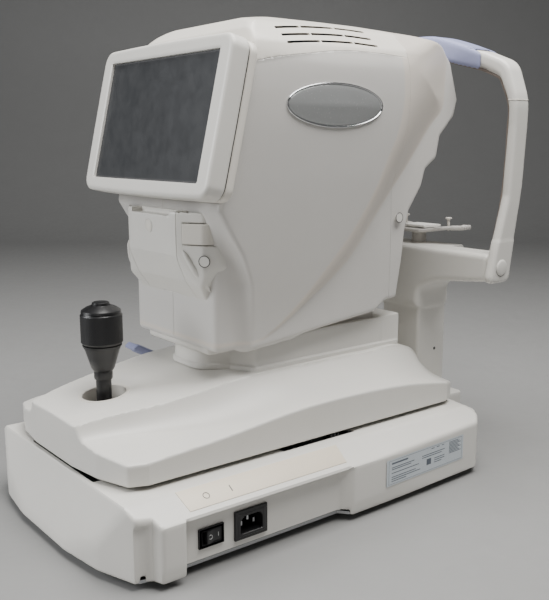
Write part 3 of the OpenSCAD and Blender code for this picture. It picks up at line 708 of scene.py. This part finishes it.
# ---- Nose and printer door ----

NOSE_PLAN = outline(mirrored([(20, -124), (46, -118, 6), (70, -104, 6), (78, -90, 5), (79, -58)]))
NOSE_SIDE = outline([(-92, 162, 5), (-58, 162), (-66, 299), (-98, 304), (-122, 304, 3), (-119, 262),
                     (-108, 236, 20), (-92, 214, 10)])
NOSE_FRONT = outline(mirrored([(56, 160), (60, 215, 4), (77, 252, 8), (79, 310)]))
DOOR_W = 45.6
DOOR_LOW = 219


def nose(x, y, z):
    u = np.abs(x)
    return both(2.2, poly(u, y, NOSE_PLAN), poly(y, z, NOSE_SIDE), poly(u, z, NOSE_FRONT))


def button(x, y, z, grow, low, high):
    """Block round the corner of the nose, from low to high above its surface."""
    place = block(x, y, z, (52.5 - grow, -130, 273.5 - grow), (74.5 + grow, -92, 293 + grow))
    skin = poly(np.abs(x), y, NOSE_PLAN)
    return both(1.1, skin - high, low - skin, place)


def door_slot(x, y, z):
    return block(np.abs(x), y, z, (-5, -130, 299.5), (36, -108, 312), 0.5)


def build_nose():
    def front(x, y, z):
        pocket = button(x, y, z, 0.9, -4.4, 8)
        return less(0.6, nose(x, y, z), door_slot(x, y, z), pocket)

    gap = 0.6
    low = lambda x, y, z: DOOR_LOW - 0.0016 * x ** 2
    planes = [(0, side * DOOR_W + d) for side in (-1, 1) for d in (-gap, gap)]
    planes += [(1, -84), (1, -60), (2, lambda x, y, z: low(x, y, z) - gap),
               (2, lambda x, y, z: low(x, y, z) + gap)]
    skin = split(surface(front, (-80, -125, 162), (80, -58, 305), 1.5), planes)
    inside = lambda x, y, z, d: (np.abs(x) < DOOR_W + d) & (z > low(x, y, z) - d) & (y < -84)
    edge = gap * 0.7
    door = kept(skin, lambda x, y, z: inside(x, y, z, -edge))
    rest = kept(skin, lambda x, y, z: ~inside(x, y, z, edge) & (y < -60) & (z < 303))
    thicken(add("printer_door_skin", door, STAGE, "printer_door", ivory, "printer_door"),
            COVER_WALL)
    thicken(add("nose_cover_skin", rest, STAGE, "head", ivory, "nose_cover"), 2.0)
    seat = facing((0, -120.9, 288), (0, -1, -0.07))
    add("door_dimple_ring", moved(torus(6.4, 0.6), seat), STAGE, "printer_door", ivory)
    cap = lathe([(0, 0.7), (3.8, 0.8), (5.6, 0.5), (6.2, -0.6), (0, -0.6)], 40)
    add("door_dimple_cap", moved(cap, seat), STAGE, "printer_door", warm)
    cap = surface(lambda x, y, z: button(x, y, z, 0, -1.9, 1.7), (52, -126, 273), (75, -91, 294), 1.0)
    add("door_button_cap", cap, STAGE, "door_button", warm, "door_button")
    for side, label in ((1, "right"), (-1, "left")):
        path = spline([(52 * side, -115.2, 268), (56 * side, -112, 260), (61 * side, -107.6, 249),
                       (66 * side, -101, 237), (69 * side, -95.6, 228)], 6)
        radius = np.interp(np.linspace(0, 1, len(path)), [0, 0.15, 0.5, 0.85, 1], [0.5, 2.4, 3.4, 2.4, 0.5])
        add("nose_rib_" + label, tube(path, radius), STAGE, "head", ivory)


# ---- Monitor ----

LEAN = math.radians(13.3)
SCREEN = (0, -113.5, 390.4)
BEZEL_W, BEZEL_H = 118, 74.5
SCREEN_W, SCREEN_H = 99.5, 59.8


def on_screen(shape):
    m = np.eye(4)
    m[:3, 1] = (0, math.sin(LEAN), math.cos(LEAN))
    m[:3, 2] = (0, -math.cos(LEAN), math.sin(LEAN))
    m[:3, 3] = SCREEN
    return moved(shape, m)


def screen_plan(x, y, w, h, r):
    """Rounded rectangle whose long and short sides bow slightly outwards."""
    bow_x = 0.8 * (1 - (y / BEZEL_H) ** 2)
    bow_y = 1.6 * (1 - (x / BEZEL_W) ** 2)
    return both(r, np.abs(x) - (w - 0.8 + bow_x), np.abs(y) - (h - 1.6 + bow_y))


def build_monitor():
    def bezel(x, y, z):
        outer = both(3.6, screen_plan(x, y, BEZEL_W, BEZEL_H, 13), z - 2, -18 - z)
        opening = both(1.5, np.abs(x) - SCREEN_W, np.abs(y) - SCREEN_H) + 0 * z
        return less(0.7, outer, opening)

    def back(x, y, z):
        return both(2.6, screen_plan(x, y, BEZEL_W - 1.4, BEZEL_H - 1.2, 12), z + 19.2, -27.8 - z)

    # The seam piece is a charcoal core inside bezel and back, seen only through the gap between them: painted
    # shade in that gap.
    def seam(x, y, z):
        return both(0.6, screen_plan(x, y, BEZEL_W - 3, BEZEL_H - 3, 11), z + 15, -23 - z)

    pieces = [("monitor_bezel_frame", bezel, -20, 2, ivory, "ivory_plastic", "monitor_bezel"),
              ("monitor_back_shell", back, -28, -19, warm, "silver_plastic", "monitor_back"),
              ("monitor_seam_shade", seam, -23, -15, charcoal, "black_plastic", ())]
    for name, field, low, high, material, slot, node in pieces:
        shape = surface(field, (-BEZEL_W, -BEZEL_H - 1, low), (BEZEL_W, BEZEL_H + 1, high), 1.6)
        add(name, on_screen(shape), STAGE, "head", material, node)
    line = np.array(rounded_rectangle(SCREEN_W - 0.4, SCREEN_H - 0.4, 1.2))
    n = len(line)
    rings = [(line, -0.9), (line * [0.985, 0.975], -1.1), (line, -2.2)]
    v = np.vstack([np.column_stack([ring, np.full(n, z)]) for ring, z in rings])
    faces = [[k, (k + 1) % n, n + (k + 1) % n, n + k] for k in range(n)]
    faces += [[2 * n + k, 2 * n + (k + 1) % n, (k + 1) % n, k] for k in range(n)]
    add("screen_surround", on_screen((v, faces)), STAGE, "head", charcoal)


# ---- Deck and column cover ----

JOY_Y = middle("joystick_grip", 1) - Y_SHIFT
DECK_PLAN = outline(mirrored([(40, -231), (80, -226), (115, -214, 5), (122, -197), (122, 190), (112, 210, 12),
                              (60, 213)]))


DECK_WALL = 5


def deck_top(u, y):
    plateau = curve(y, [(-231, 117.5), (-210, 121.5), (-142, 130), (-80, 138.5), (-50, 140.6), (0, 141),
                        (100, 141), (160, 138.5), (190, 126), (208, 106), (214, 98)])
    edge = curve(y, [(-231, 93), (-214, 95.5), (-123, 102.7), (-11, 112.5), (60, 112.5), (150, 106),
                     (195, 98), (213, 92)])
    ridge = curve(y, [(-231, 47), (-210, 53), (-142, 70), (-57, 77), (0, 78), (160, 77), (205, 66)])
    fall = curve(y, [(-231, 13), (-190, 15), (-142, 24), (-57, 42), (60, 44), (213, 40)])
    wing = edge + (122 - u) * curve(y, [(-231, 0.19), (-142, 0.2), (0, 0.12), (120, 0.14), (213, 0.1)])
    s = np.clip((u - ridge) / fall, 0, 1)
    drop = np.maximum(plateau - (edge + (122 - ridge) * 0.16), 0)
    crown = 1.2 * (1 - (u / ridge) ** 2)
    outside = wing + drop * (1 - s) ** 2.2
    return np.where(u < ridge, plateau + crown, np.minimum(outside, plateau))


def deck(x, y, z):
    u = np.abs(x)
    plan, over = poly(u, y, DECK_PLAN), (z - deck_top(u, y)) * 0.93
    solid = both(1.8, plan, over, 77 - z)
    boss = both(4, np.hypot(x + 96, y + 58) - 14, z - 124, 90 - z)
    solid = either(8, solid, boss)
    hollow = np.maximum(plan + DECK_WALL, over + DECK_WALL)
    hole = np.hypot(x, y - JOY_Y) - 21.6 + 0 * z
    lever = block(x, y, z, (-100.8, -78, 96), (-91.2, -38, 140))
    return less(0.9, solid, hollow, hole, lever, column_path(u, y, z))


def build_deck():
    shape = surface(deck, (-123, -232, 76), (123, 214, 143), 1.6)
    add("deck_cover_skin", shape, STAGE, "deck", ivory, "deck_cover", 30)
    ring = [(21.6, 0), (23.6, 0.25), (24.6, 0.35), (25.2, 0), (24.8, -0.8), (21.4, -0.8), (20.9, -14),
            (21.6, -14)]
    seat = facing((0, JOY_Y, float(deck_top(np.array([20.]), np.array([JOY_Y]))[0]) + 0.1), (0, -0.11, 1),
                  (1, 0, 0))
    add("joystick_bezel_ring", moved(lathe(ring, 96), seat), STAGE, "deck", warm)
    boot = lathe([(8.0, 22), (8.6, 22), (8.9, 18), (10.8, 14), (12.6, 13.6), (14.0, 12.0), (16.0, 11.6),
                  (17.6, 10.2), (18.6, 9.2), (18.6, 8.6), (8.0, 9.4)], 64)
    add("joystick_boot", moved(boot, upright(0, JOY_Y, 92)), STAGE, "joystick", black_rubber)


COLLAR = outline(mirrored([(26, -84, 24), (46, -58, 6), (74, -46, 5), (74, 160, 5)]), 10)


def build_collar():
    def collar(x, y, z):
        u = np.abs(x)
        plan = poly(u, y, COLLAR)
        foot = both(1.4, plan, z - 146, 140 - z)
        wall = both(1.2, plan + 2.2, z - 174.6, 140 - z)
        rear = both(1.2, block(u, y, z, (-5, 132, 140), (72.5, 160.5, 176)))
        return less(0.6, either(1.0, foot, wall, rear), column_path(u, y, z))

    shape = surface(collar, (-75, -86, 140), (75, 161, 176))
    add("column_skirt", shape, STAGE, "deck", ivory, "lower_collar", 30)


# ---- Joystick and stage lock ----

def build_joystick():
    low = middle("grip_ring", 2) - 15.5
    body = [(0, 142), (8.6, 142), (9.0, 143), (9.2, 150), (11.2, 153), (14.2, 163), (16.8, 171.5),
            (18.8, 175.2), (19.0, 176.3), (12, 176.5), (12, 207.9), (19.3, 208.2), (18.8, 210.2),
            (14.5, 213.0), (10.2, 214.6), (9.2, 215.2), (9.0, 214.0), (8.9, 206), (0, 206)]
    add("joystick_body", moved(lathe(body, 96), upright(0, JOY_Y, 0)), STAGE, "joystick", black,
        "joystick_grip", 30)
    cap = [(0, 218.1), (7.2, 218.0), (8.2, 217.4), (8.5, 216.4), (8.5, 209.2), (0, 209.2)]
    add("measure_button_cap", moved(lathe(cap, 64), upright(0, JOY_Y, 0)), STAGE, "measure_button",
        black, "measure_button")
    n, rows, height = 132, 44, 29.0
    v, faces = [], []
    for j in range(rows + 1):
        for i in range(n):
            t = math.tau * i / n
            edge = min(1.0, j / 2.0, (rows - j) / 2.0)
            tooth = 0.5 * (abs(math.sin(22 * t + 0.72 * j)) + abs(math.sin(22 * t - 0.72 * j)))
            r = 19.0 + (0.35 + 0.95 * tooth) * edge
            v.append((r * math.cos(t), r * math.sin(t), low + 1 + height * j / rows))
    for j in range(rows):
        faces += [[j * n + i, j * n + (i + 1) % n, (j + 1) * n + (i + 1) % n, (j + 1) * n + i]
                  for i in range(n)]
    core = lathe([(12.1, low + 31), (12.1, low + 0.1), (18.4, low + 0.1), (19.05, low + 1.2),
                  (19.05, low + 29.8), (18.4, low + 30.9), (12.1, low + 30.9)], 96)
    ring = join((v, faces), core)
    add("grip_ring_knurl", moved(ring, upright(0, JOY_Y, 0)), STAGE, "grip_ring", black,
        "grip_ring", 50)


def build_lever():
    side = outline([(-62, 112, 3), (-53, 114, 5), (-52, 122, 5), (-62, 131, 8), (-84, 143.5, 4),
                    (-93, 139.5, 2.4), (-90, 136, 2), (-70, 126, 8)])
    paddle = outline([(-64, 129, 1.5), (-66, 133.4, 1.5), (-88, 145, 2), (-95, 140.4, 2), (-90, 137.4, 1)])

    def lever(x, y, z):
        arm = both(2, poly(y, z, side), np.abs(x + 96) - 3.8)
        pad = both(1.3, poly(y, z, paddle), np.abs(x + 100) - 11.4 + ((y + 80) / 17) ** 2)
        return either(2, arm, pad)

    shape = surface(lever, (-112.5, -96, 110), (-87.5, -50, 146), 1.1)
    add("lock_lever_blade", shape, STAGE, "lock_lever", lilac, "lock_lever")


# ---- Base ----

BASE_W = 157.5
BASE_TOP = 73.5
SHOULDER_X = 129
BAY_FACE = 147
BAY_TOP = 56
WELL_FLOOR = 39
BASE_WALL = 4.5
BAY_WALL = 4.2
# Windows of the mains inlet, the power switch and, on the left, the data sockets
SOCKET_WINDOWS = [((138, -131, 20), (150, -97.4, 44.8)), ((138, -168.5, 24.5), (150, -145.5, 39.5)),
                  ((-150, -150, 22), (-138, -80, 40))]
BASE_PLAN = outline(mirrored([(45, -250), (100, -243, 60), (143.5, -228, 5), (146, -214), (BASE_W, -210, 6),
                              (BASE_W, 30), (151.5, 200, 14), (118, 236, 18), (62, 246, 6), (62, 284, 8)]))
BASE_SECTION = mirrored([(BASE_W - 2, 6.5), (BASE_W, 20), (BASE_W, 56.5), (SHOULDER_X, BASE_TOP)])
BASE_SIDE = outline([(-251, 6.5), (284, 6.5), (284, 60, 4), (214, 60), (206, BASE_TOP, 8), (-231, BASE_TOP)])


def base(x, y, z):
    u = np.abs(x)
    plan, section, side = poly(u, y, BASE_PLAN), poly(u, z, BASE_SECTION), poly(y, z, BASE_SIDE)
    groove = both(3, np.hypot(u - 151, y + 224.5) - 10.5, z - 58)
    bay = both(1.2, BAY_FACE - u, -187 - y, ((y + 6) - (u - BAY_FACE) * 1.33) / 1.66, z - BAY_TOP)
    hollow = np.maximum.reduce(np.broadcast_arrays(plan + BASE_WALL, section + BASE_WALL, side + BASE_WALL,
                                                   BASE_WALL - groove, BAY_WALL - bay))
    below = np.maximum(plan + 4.4, z - 12) + 0 * x
    axle_well = block(u, y, z, (-10, -48, WELL_FLOOR), (113, 46, 90))
    stick_well = block(u, y, z, (-10, -226.5, WELL_FLOOR), (66, -132, 90))
    column_well = block(u, y, z, (-10, 229, WELL_FLOOR), (32.5, 282, 90))
    windows = np.minimum.reduce(np.broadcast_arrays(*[block(x, y, z, *ends) for ends in SOCKET_WINDOWS]))
    shell = less(1.4, both(2.4, plan, section, side), groove, bay)
    return np.maximum(less(0.6, shell, hollow, axle_well, stick_well, column_well, below), -windows)


def build_base():
    shape = surface(base, (-158, -252, 6), (158, 285, 74))
    add("base_housing_skin", shape, BASE, "base", ivory, "base_housing", 28)
    rise = math.atan2(BASE_TOP - 56.5, BASE_W - SHOULDER_X)
    for side, label in ((1, "right"), (-1, "left")):
        along = np.array([math.cos(rise), 0, -math.sin(rise)])
        normal = np.array([math.sin(rise), 0, math.cos(rise)])
        corner = np.array([128.5, -182, BASE_TOP + 0.3]) + 2.5 * along - 0.2 * normal
        quad = [(0, 0), (22.5, 3), (22.5, 183), (0, 186)]
        v, faces = prism(quad, 0.8, 0.25)
        v = corner + np.outer(v[:, 0], along) + np.outer(v[:, 1], [0, 1, 0]) + np.outer(v[:, 2], normal)
        v[:, 0] *= side
        if side < 0:
            faces = [f[::-1] for f in faces]
        add("edge_strip_" + label, (v, faces), BASE, "base", cream, "edge_strips")
    normal = np.array([math.sin(rise), 0, math.cos(rise)])

    def at(d, y):
        """Point on the strip, d mm out from its inner edge."""
        along = np.array([math.cos(rise), 0, -math.sin(rise)])
        return np.array([128.5, y, 73.8]) + (2.5 + d) * along + 0.72 * normal

    ring = torus(3.0, 0.32, 40, 8)
    add("switch_mark_off", moved(ring, facing(at(12, -157), normal, (0, 1, 0))), BASE, "base", mark)
    bar = prism(rounded_rectangle(3.4, 0.35, 0.3), 0.5)
    add("switch_mark_on", moved((bar[0] - [0, 0, 0.2], bar[1]), facing(at(12, -131), normal, (0, 1, 0))),
        BASE, "base", mark)


def build_rating_plate():
    """Printed plate: a pale field, a thin border and plain blank bars where lettering would be."""
    low, high = (np.array(c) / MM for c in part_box("rating_plate"))
    y0, y1, z0, z1 = low[1] - Y_SHIFT, high[1] - Y_SHIFT, low[2], high[2]
    slope = (high[0] - low[0] - 0.45) / (y1 - y0)

    def patch(a, b, c, d, lift):
        """Thin plate between a..b along the length and c..d up, as fractions."""
        ys, zs = (y0 + a * (y1 - y0), y0 + b * (y1 - y0)), (z0 + c * (z1 - z0), z0 + d * (z1 - z0))
        v, faces = prism([(ys[0], zs[0]), (ys[1], zs[0]), (ys[1], zs[1]), (ys[0], zs[1])], 0.1 + lift)
        x = high[0] - slope * (v[:, 0] - y0) - 0.02
        return np.column_stack([x - 0.1 + v[:, 2] * 0.5, v[:, 0], v[:, 1]]), faces

    bars = []
    for c, ends in ((0.80, (0.06, 0.26)), (0.66, (0.06, 0.34)), (0.59, (0.06, 0.30)), (0.45, (0.06, 0.40)),
                    (0.30, (0.06, 0.36)), (0.22, (0.06, 0.42)), (0.14, (0.06, 0.24)),
                    (0.86, (0.56, 0.60)), (0.86, (0.63, 0.67)), (0.86, (0.70, 0.73)),
                    (0.68, (0.44, 0.74)), (0.60, (0.44, 0.70)), (0.44, (0.60, 0.74)), (0.36, (0.60, 0.74)),
                    (0.28, (0.60, 0.70))):
        thick = 0.065 if c == 0.80 else 0.032
        bars.append(patch(*ends, c, c + thick, 0.1))
    bars.append(patch(0.50, 0.56, 0.28, 0.52, 0.1))
    for k in range(9):
        bars.append(patch(0.80, 0.965 - 0.02 * (k % 3), 0.42 + 0.055 * k, 0.42 + 0.055 * k + 0.028, 0.1))
    border = [(0.025, 0.98, 0.05, 0.062), (0.025, 0.98, 0.938, 0.95), (0.025, 0.028, 0.05, 0.95),
              (0.977, 0.98, 0.05, 0.95)]
    bars += [patch(*b, 0.1) for b in border]
    add("rating_plate_bars", join(*bars), BASE, "base", label_ink)
    add("rating_plate_face", patch(0, 1, 0, 1, 0), BASE, "base", label_face, "rating_plate")


def build_sockets():
    """Appliance inlet with its bezel, rocker switch with its marks, and feet."""
    y, z = middle("mains_inlet", 1) - Y_SHIFT, middle("mains_inlet", 2)

    def inlet(a, b, c):
        flange = both(0.8, block(a, b, c, (146.6, y - 18.1, z - 13.9), (149.4, y + 18.1, z + 13.9)))
        rim = block(a, b, c, (146, y - 15, z - 10.8), (150.1, y + 15, z + 10.8), 0.8)
        core = block(a, b, c, (122, y - 16, z - 11.8), (147.4, y + 16, z + 11.8), 0.6)
        mouth = both(0.8, np.abs(b - y) - 12, -8 - (c - z), (c - z) - 8, np.abs(b - y) + (c - z) - 16.5,
                     126.5 - a)
        return less(0.5, either(0.4, flange, core, rim), mouth)

    shape = surface(inlet, (122, y - 19, z - 14), (150, y + 19, z + 14), 0.9)
    add("mains_inlet_body", shape, BASE, "base", black, "mains_inlet", 30)
    y, z = middle("power_rocker", 1) - Y_SHIFT, middle("power_rocker", 2)
    rocker = outline([(-3, -3), (6, -7.8, 1), (10.8, -8.2, 1), (9.4, 0, 14), (10.8, 8.2, 1), (6, 7.8, 1),
                      (-3, 3)])
    turn = np.array(Matrix.Rotation(math.radians(8), 4, "Z"))
    turn[:3, 3] = (139, y, z)
    v, faces = prism(rocker, 12, 0.6, -6)
    add("rocker_cap", moved((v, faces), turn), BASE, "rocker", black, "power_rocker", 30)
    off = moved(torus(1.9, 0.22, 32, 8), facing((10.4, -4.6, 0), (1, -0.1, 0)))
    on = prism(rounded_rectangle(1.9, 0.24, 0.2), 0.4)
    on = moved(on, facing((9.9, 4.6, 0), (1, 0.1, 0), (0, 1, 0)))
    add("rocker_marks", moved(join(off, on), turn), BASE, "rocker", pale_mark)
    v, faces = prism(rounded_rectangle(13, 9, 1.2), 2.0, 0.5)
    hole = prism(rounded_rectangle(10.3, 6.6, 0.8), 6, 0, -2)
    at = facing((BAY_FACE, middle("switch_frame", 1) - Y_SHIFT, z), (1, 0, 0))
    obj = add("switch_bezel", moved((v, faces), at), BASE, "base", black)
    carve(obj, moved(hole, at), BASE)
    profile = [(0, 0.2), (8.6, 0), (11.0, 0.5), (12.0, 1.6), (11.7, 4.6), (10.4, 6.4), (2.4, 6.45),
               (2.4, 14), (0, 14)]
    feet = [moved(lathe(profile, 48), upright(a, b, 0))
            for a, b in ((-118, -190), (118, -190), (-112, 190), (112, 190))]
    add("rubber_foot_pads", join(*feet), BASE, "base", black_rubber, "rubber_feet")


# ---- Headrest ----

ARCH_W = 150
ARCH_OUTER = outline(mirrored([(148, 200), (ARCH_W, 300), (ARCH_W, 413, 60), (135, 453, 24), (102, 466, 60),
                               (40, 481)]))
ARCH_INNER = outline(mirrored([(131, 190), (133, 300), (133, 408, 40), (120, 436, 14), (96, 446, 40),
                               (40, 460)]))
ARCH_SIDE = outline([(214, 214, 6), (248, 214, 8), (253, 256), (263, 320), (267, 385), (268, 486, 6),
                     (243, 486, 6), (243, 385), (238, 310), (222, 250)])
EYE_LINE = 412.5
BEAM = outline(mirrored([(34, 170), (36, 196, 16), (64, 206), (122, 212, 20), (137.6, 214, 7),
                         (137.6, 245, 6)]))


def arch_middle(z):
    return curve(z, [(214, 231), (250, 237.5), (310, 250.2), (385, 255), (486, 255.5)])


def arch_body(x, y, z):
    """Outer tube of the arch, and its depth from the inner opening."""
    u = np.abs(x)
    depth = poly(u, z, ARCH_INNER)
    return both(4.2, poly(u, z, ARCH_OUTER), 6 - depth, poly(y, z, ARCH_SIDE)), depth


def arch(x, y, z):
    u = np.abs(x)
    body, depth = arch_body(x, y, z)
    web = both(1, np.abs(y - arch_middle(z) - 2.5) - 6, 1.2 - depth, depth - 9, 252 - z)
    foot = both(3, poly(u, z, ARCH_OUTER), 138.4 - u, poly(y, z, ARCH_SIDE), z - 262)
    seat = np.maximum(u - 138.4, z - 250) + 0 * y
    bore = np.hypot(y - 232, z - 231) - 4.2
    return np.maximum(np.maximum(either(1.5, body, web, foot), -seat), -bore)


def eye_level_line(x, y, z):
    """Fine raised line round each leg at the height of the eyes."""
    body, _ = arch_body(x, y, z)
    return both(0.25, body - 0.45, -1.2 - body, np.abs(z - EYE_LINE) - 0.55)


def arch_lining(x, y, z):
    depth = poly(np.abs(x), z, ARCH_INNER)
    return both(0.8, np.abs(y - arch_middle(z) - 2.5) - 7.2, -depth, depth - 3, 255 - z)


def beam(x, y, z):
    u = np.abs(x)
    bar = both(6, poly(u, z, BEAM), 222.4 - y, y - 279.6)
    column = both(3.5, u - 31, 231 - y, y - 281, z - 214, 48 - z)
    solid = either(7, bar, column)
    opening = block(u, y, z, (58, 255, 190), (140, 292, 260))
    inside = block(u, y, z, (-5, 237, 40), (26, 275, 180))
    screw = np.maximum(np.hypot(x, y - 262) - 9.3, 190 - z)
    return less(1, solid, opening, inside, screw)


def build_headrest():
    box = (-151, 213, 205), (151, 269, 487)
    add("headrest_arch_skin", surface(arch, *box), BASE, "base", ivory, "headrest_arch", 30)
    shape = surface(arch_lining, (-134, 225, 250), (134, 268, 464), 1.6)
    add("arch_liner_strip", shape, BASE, "base", liner, "arch_liner", 30)
    sides = [surface(eye_level_line, (low, 240, EYE_LINE - 1), (low + 19, 270, EYE_LINE + 1), 0.5)
             for low in (-151, 132)]
    add("eye_level_lines", join(*sides), BASE, "base", warm)
    box = (-139, 222, 48), (139, 282, 246)
    add("chin_beam_skin", surface(beam, *box), BASE, "base", ivory,
        ("chin_beam", "headrest_column"), 30)
    cap = [(0, 2.3), (6.5, 2.1), (8.2, 1.6), (9.0, 0.7), (9.0, -0.6), (4, -0.6), (4, -10), (0, -10)]
    seats = [facing((s * 148.7, 232, 231), (s, 0, 0)) for s in (1, -1)]
    caps = join(*[moved(lathe(cap, 48), seat) for seat in seats])
    add("pivot_cap_pair", caps, BASE, "base", ivory, "pivot_caps")
    # The charcoal rings are painted shade for the gaps round the pivot caps.
    gap_shade = join(*[moved(torus(9.5, 0.4), seat) for seat in seats])
    add("pivot_cap_gap_shade", gap_shade, BASE, "base", charcoal)
    screw = lathe([(0, 0.4), (1.8, 0.3), (2.3, -0.4), (0, -0.4)], 24)
    add("column_screw", moved(screw, facing((31.0, 262, 112), (1, 0, 0))), BASE, "base", charcoal)


def pad(x, y, z):
    u = np.abs(x)
    lower = curve(u, [(0, 464), (40, 461), (70, 453), (102, 445.5)])
    upper = curve(u, [(0, 490.6), (30, 488.6), (66, 479), (102, 466)])
    height, half = (lower + upper) / 2, (upper - lower) / 2
    thick = both(6, np.abs(z - height) - half + 0 * x, 239.4 - y, y - 275.5, u - 101.5)
    recess = np.maximum.reduce(np.broadcast_arrays(poly(u, z, ARCH_OUTER) - 0.3, 242.6 - y, y - 268.4))
    return less(0.6, thick, recess)


def build_pad():
    shape = surface(pad, (-103, 239, 444), (103, 277, 492), 1.5)
    obj = add("forehead_cushion", shape, BASE, "base", lilac, "forehead_pad", 40)


def build_chinrest():
    low, high = (np.array(c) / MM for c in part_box("chinrest"))
    top = high[2]
    plan = outline(mirrored([(18, 240, 5), (30, 252, 9), (54, 262, 10), (68, 270, 7), (63, 286.6, 6)]))

    def plate(x, y, z):
        u = np.abs(x)
        level = top - 1.5 + curve(u, [(0, -4.6), (18, -4.6), (36, -1.6), (50, -0.9), (62, 0.0), (70, 1.4)])
        under = level - curve(u, [(0, 4.2), (26, 4.4), (44, 3.6), (70, 4.2)])
        slab = both(1.6, poly(u, y, plan), z - level, under - z)
        rim = both(1.2, np.abs(poly(u, y, plan) + 2.4) - 1.7, z - level - 1.3, under - z, 50 - u)
        stem = both(1, np.hypot(x, y - 262) - 9, z - top + 5, 150 - z)
        pins = np.hypot(u - 35, y - 276) - 1.75
        bore = np.maximum(np.hypot(x, y - 262) - 4.4, z - 244)
        return less(0.4, either(1.5, slab, rim, stem), pins, bore)

    shape = surface(plate, (-69, 238, 150), (69, 288, top + 1), 1.5)
    add("chin_plate", shape, BASE, "chinrest", pearl_grey, "chinrest", 34)
    for s, label in ((-1, "left"), (1, "right")):
        low, high = (np.array(c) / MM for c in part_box("paper_pin_" + label))
        at = upright(s * 35, 276, high[2])
        profile = [(0, 0), (3.2, -0.1), (4.0, -0.7), (3.9, -1.5), (2.6, -2.2), (1.6, -3.2),
                   (1.6, low[2] - high[2] + 1), (1.0, low[2] - high[2]), (0, low[2] - high[2])]
        add("paper_pin_" + label + "_turned", moved(lathe(profile, 36), at), BASE, "pin_" + label, warm,
            "paper_pin_" + label)


build_head()
build_badges()
build_plugs()
build_nose()
build_monitor()
build_deck()
build_collar()
build_joystick()
build_lever()
build_base()
build_rating_plate()
build_sockets()
build_headrest()
build_pad()
build_chinrest()


# ---- Camera, light and floor ----

AZIMUTH, ELEVATION, ROLL = (math.radians(a) for a in (51.778, 10.679, -0.089))
EYE = Vector(placed((722.84, -533.02, 368.15), STAGE))
back = Vector((math.sin(AZIMUTH) * math.cos(ELEVATION), -math.cos(AZIMUTH) * math.cos(ELEVATION),
               math.sin(ELEVATION)))
right = Vector((math.cos(AZIMUTH), math.sin(AZIMUTH), 0))
camera = bpy.data.objects.new("camera", bpy.data.cameras.new("camera"))
bpy.context.scene.collection.objects.link(camera)
turn = Matrix((right, back.cross(right), back)).transposed().to_4x4()
camera.matrix_world = Matrix.Translation(EYE) @ turn @ Matrix.Rotation(ROLL, 4, "Z")
camera.data.sensor_fit = "VERTICAL"
camera.data.sensor_height = 36
camera.data.lens = 50.32
camera.data.clip_start = 0.01
camera.data.clip_end = 30
bpy.context.scene.camera = camera


def lamp(name, place, aim, size, power, colour=(1, 1, 1)):
    data = bpy.data.lights.new(name, "AREA")
    data.shape = "RECTANGLE"
    data.size, data.size_y = size
    data.energy = power
    data.color = colour
    obj = bpy.data.objects.new(name, data)
    bpy.context.scene.collection.objects.link(obj)
    direction = Vector(aim) - Vector(place)
    obj.matrix_world = Matrix.Translation(place) @ direction.to_track_quat("-Z", "Y").to_matrix().to_4x4()


lamp("overhead", (0.3, 0.1, 1.6), (0, 0, 0.2), (1.3, 1.3), 60, (1, 0.985, 0.96))
lamp("left_window", (-0.9, -1.9, 1.1), (0, 0, 0.25), (1.2, 1.2), 40, (0.97, 0.985, 1))
lamp("right_fill", (1.7, -1.5, 0.8), (0, 0, 0.25), (1.2, 1.2), 4, (1, 0.96, 0.92))

world = bpy.data.worlds.new("studio")
bpy.context.scene.world = world
world.use_nodes = True
world.node_tree.nodes["Background"].inputs["Color"].default_value = (0.75, 0.76, 0.78, 1)
world.node_tree.nodes["Background"].inputs["Strength"].default_value = 0.13

floor_finish = finish("floor", (0.25, 0.25, 0.247), 0.55, 60, 0.05, 0.02)
profile = [(-8, 0), (2.2, 0)]
profile += [(2.2 + 0.9 * math.sin(a), 0.9 - 0.9 * math.cos(a)) for a in np.linspace(0.1, math.pi / 2, 12)]
profile += [(3.1, 5)]
verts = [(s * 9, y, z) for y, z in profile for s in (-1, 1)]
quads = [[2 * k, 2 * k + 1, 2 * k + 3, 2 * k + 2] for k in range(len(profile) - 1)]
data = bpy.data.meshes.new("floor")
data.from_pydata(verts, [], quads)
data.shade_smooth()
data.materials.append(floor_finish)
floor = bpy.data.objects.new("floor", data)
bpy.context.scene.collection.objects.link(floor)
floor.matrix_world = Matrix.Rotation(AZIMUTH, 4, "Z")
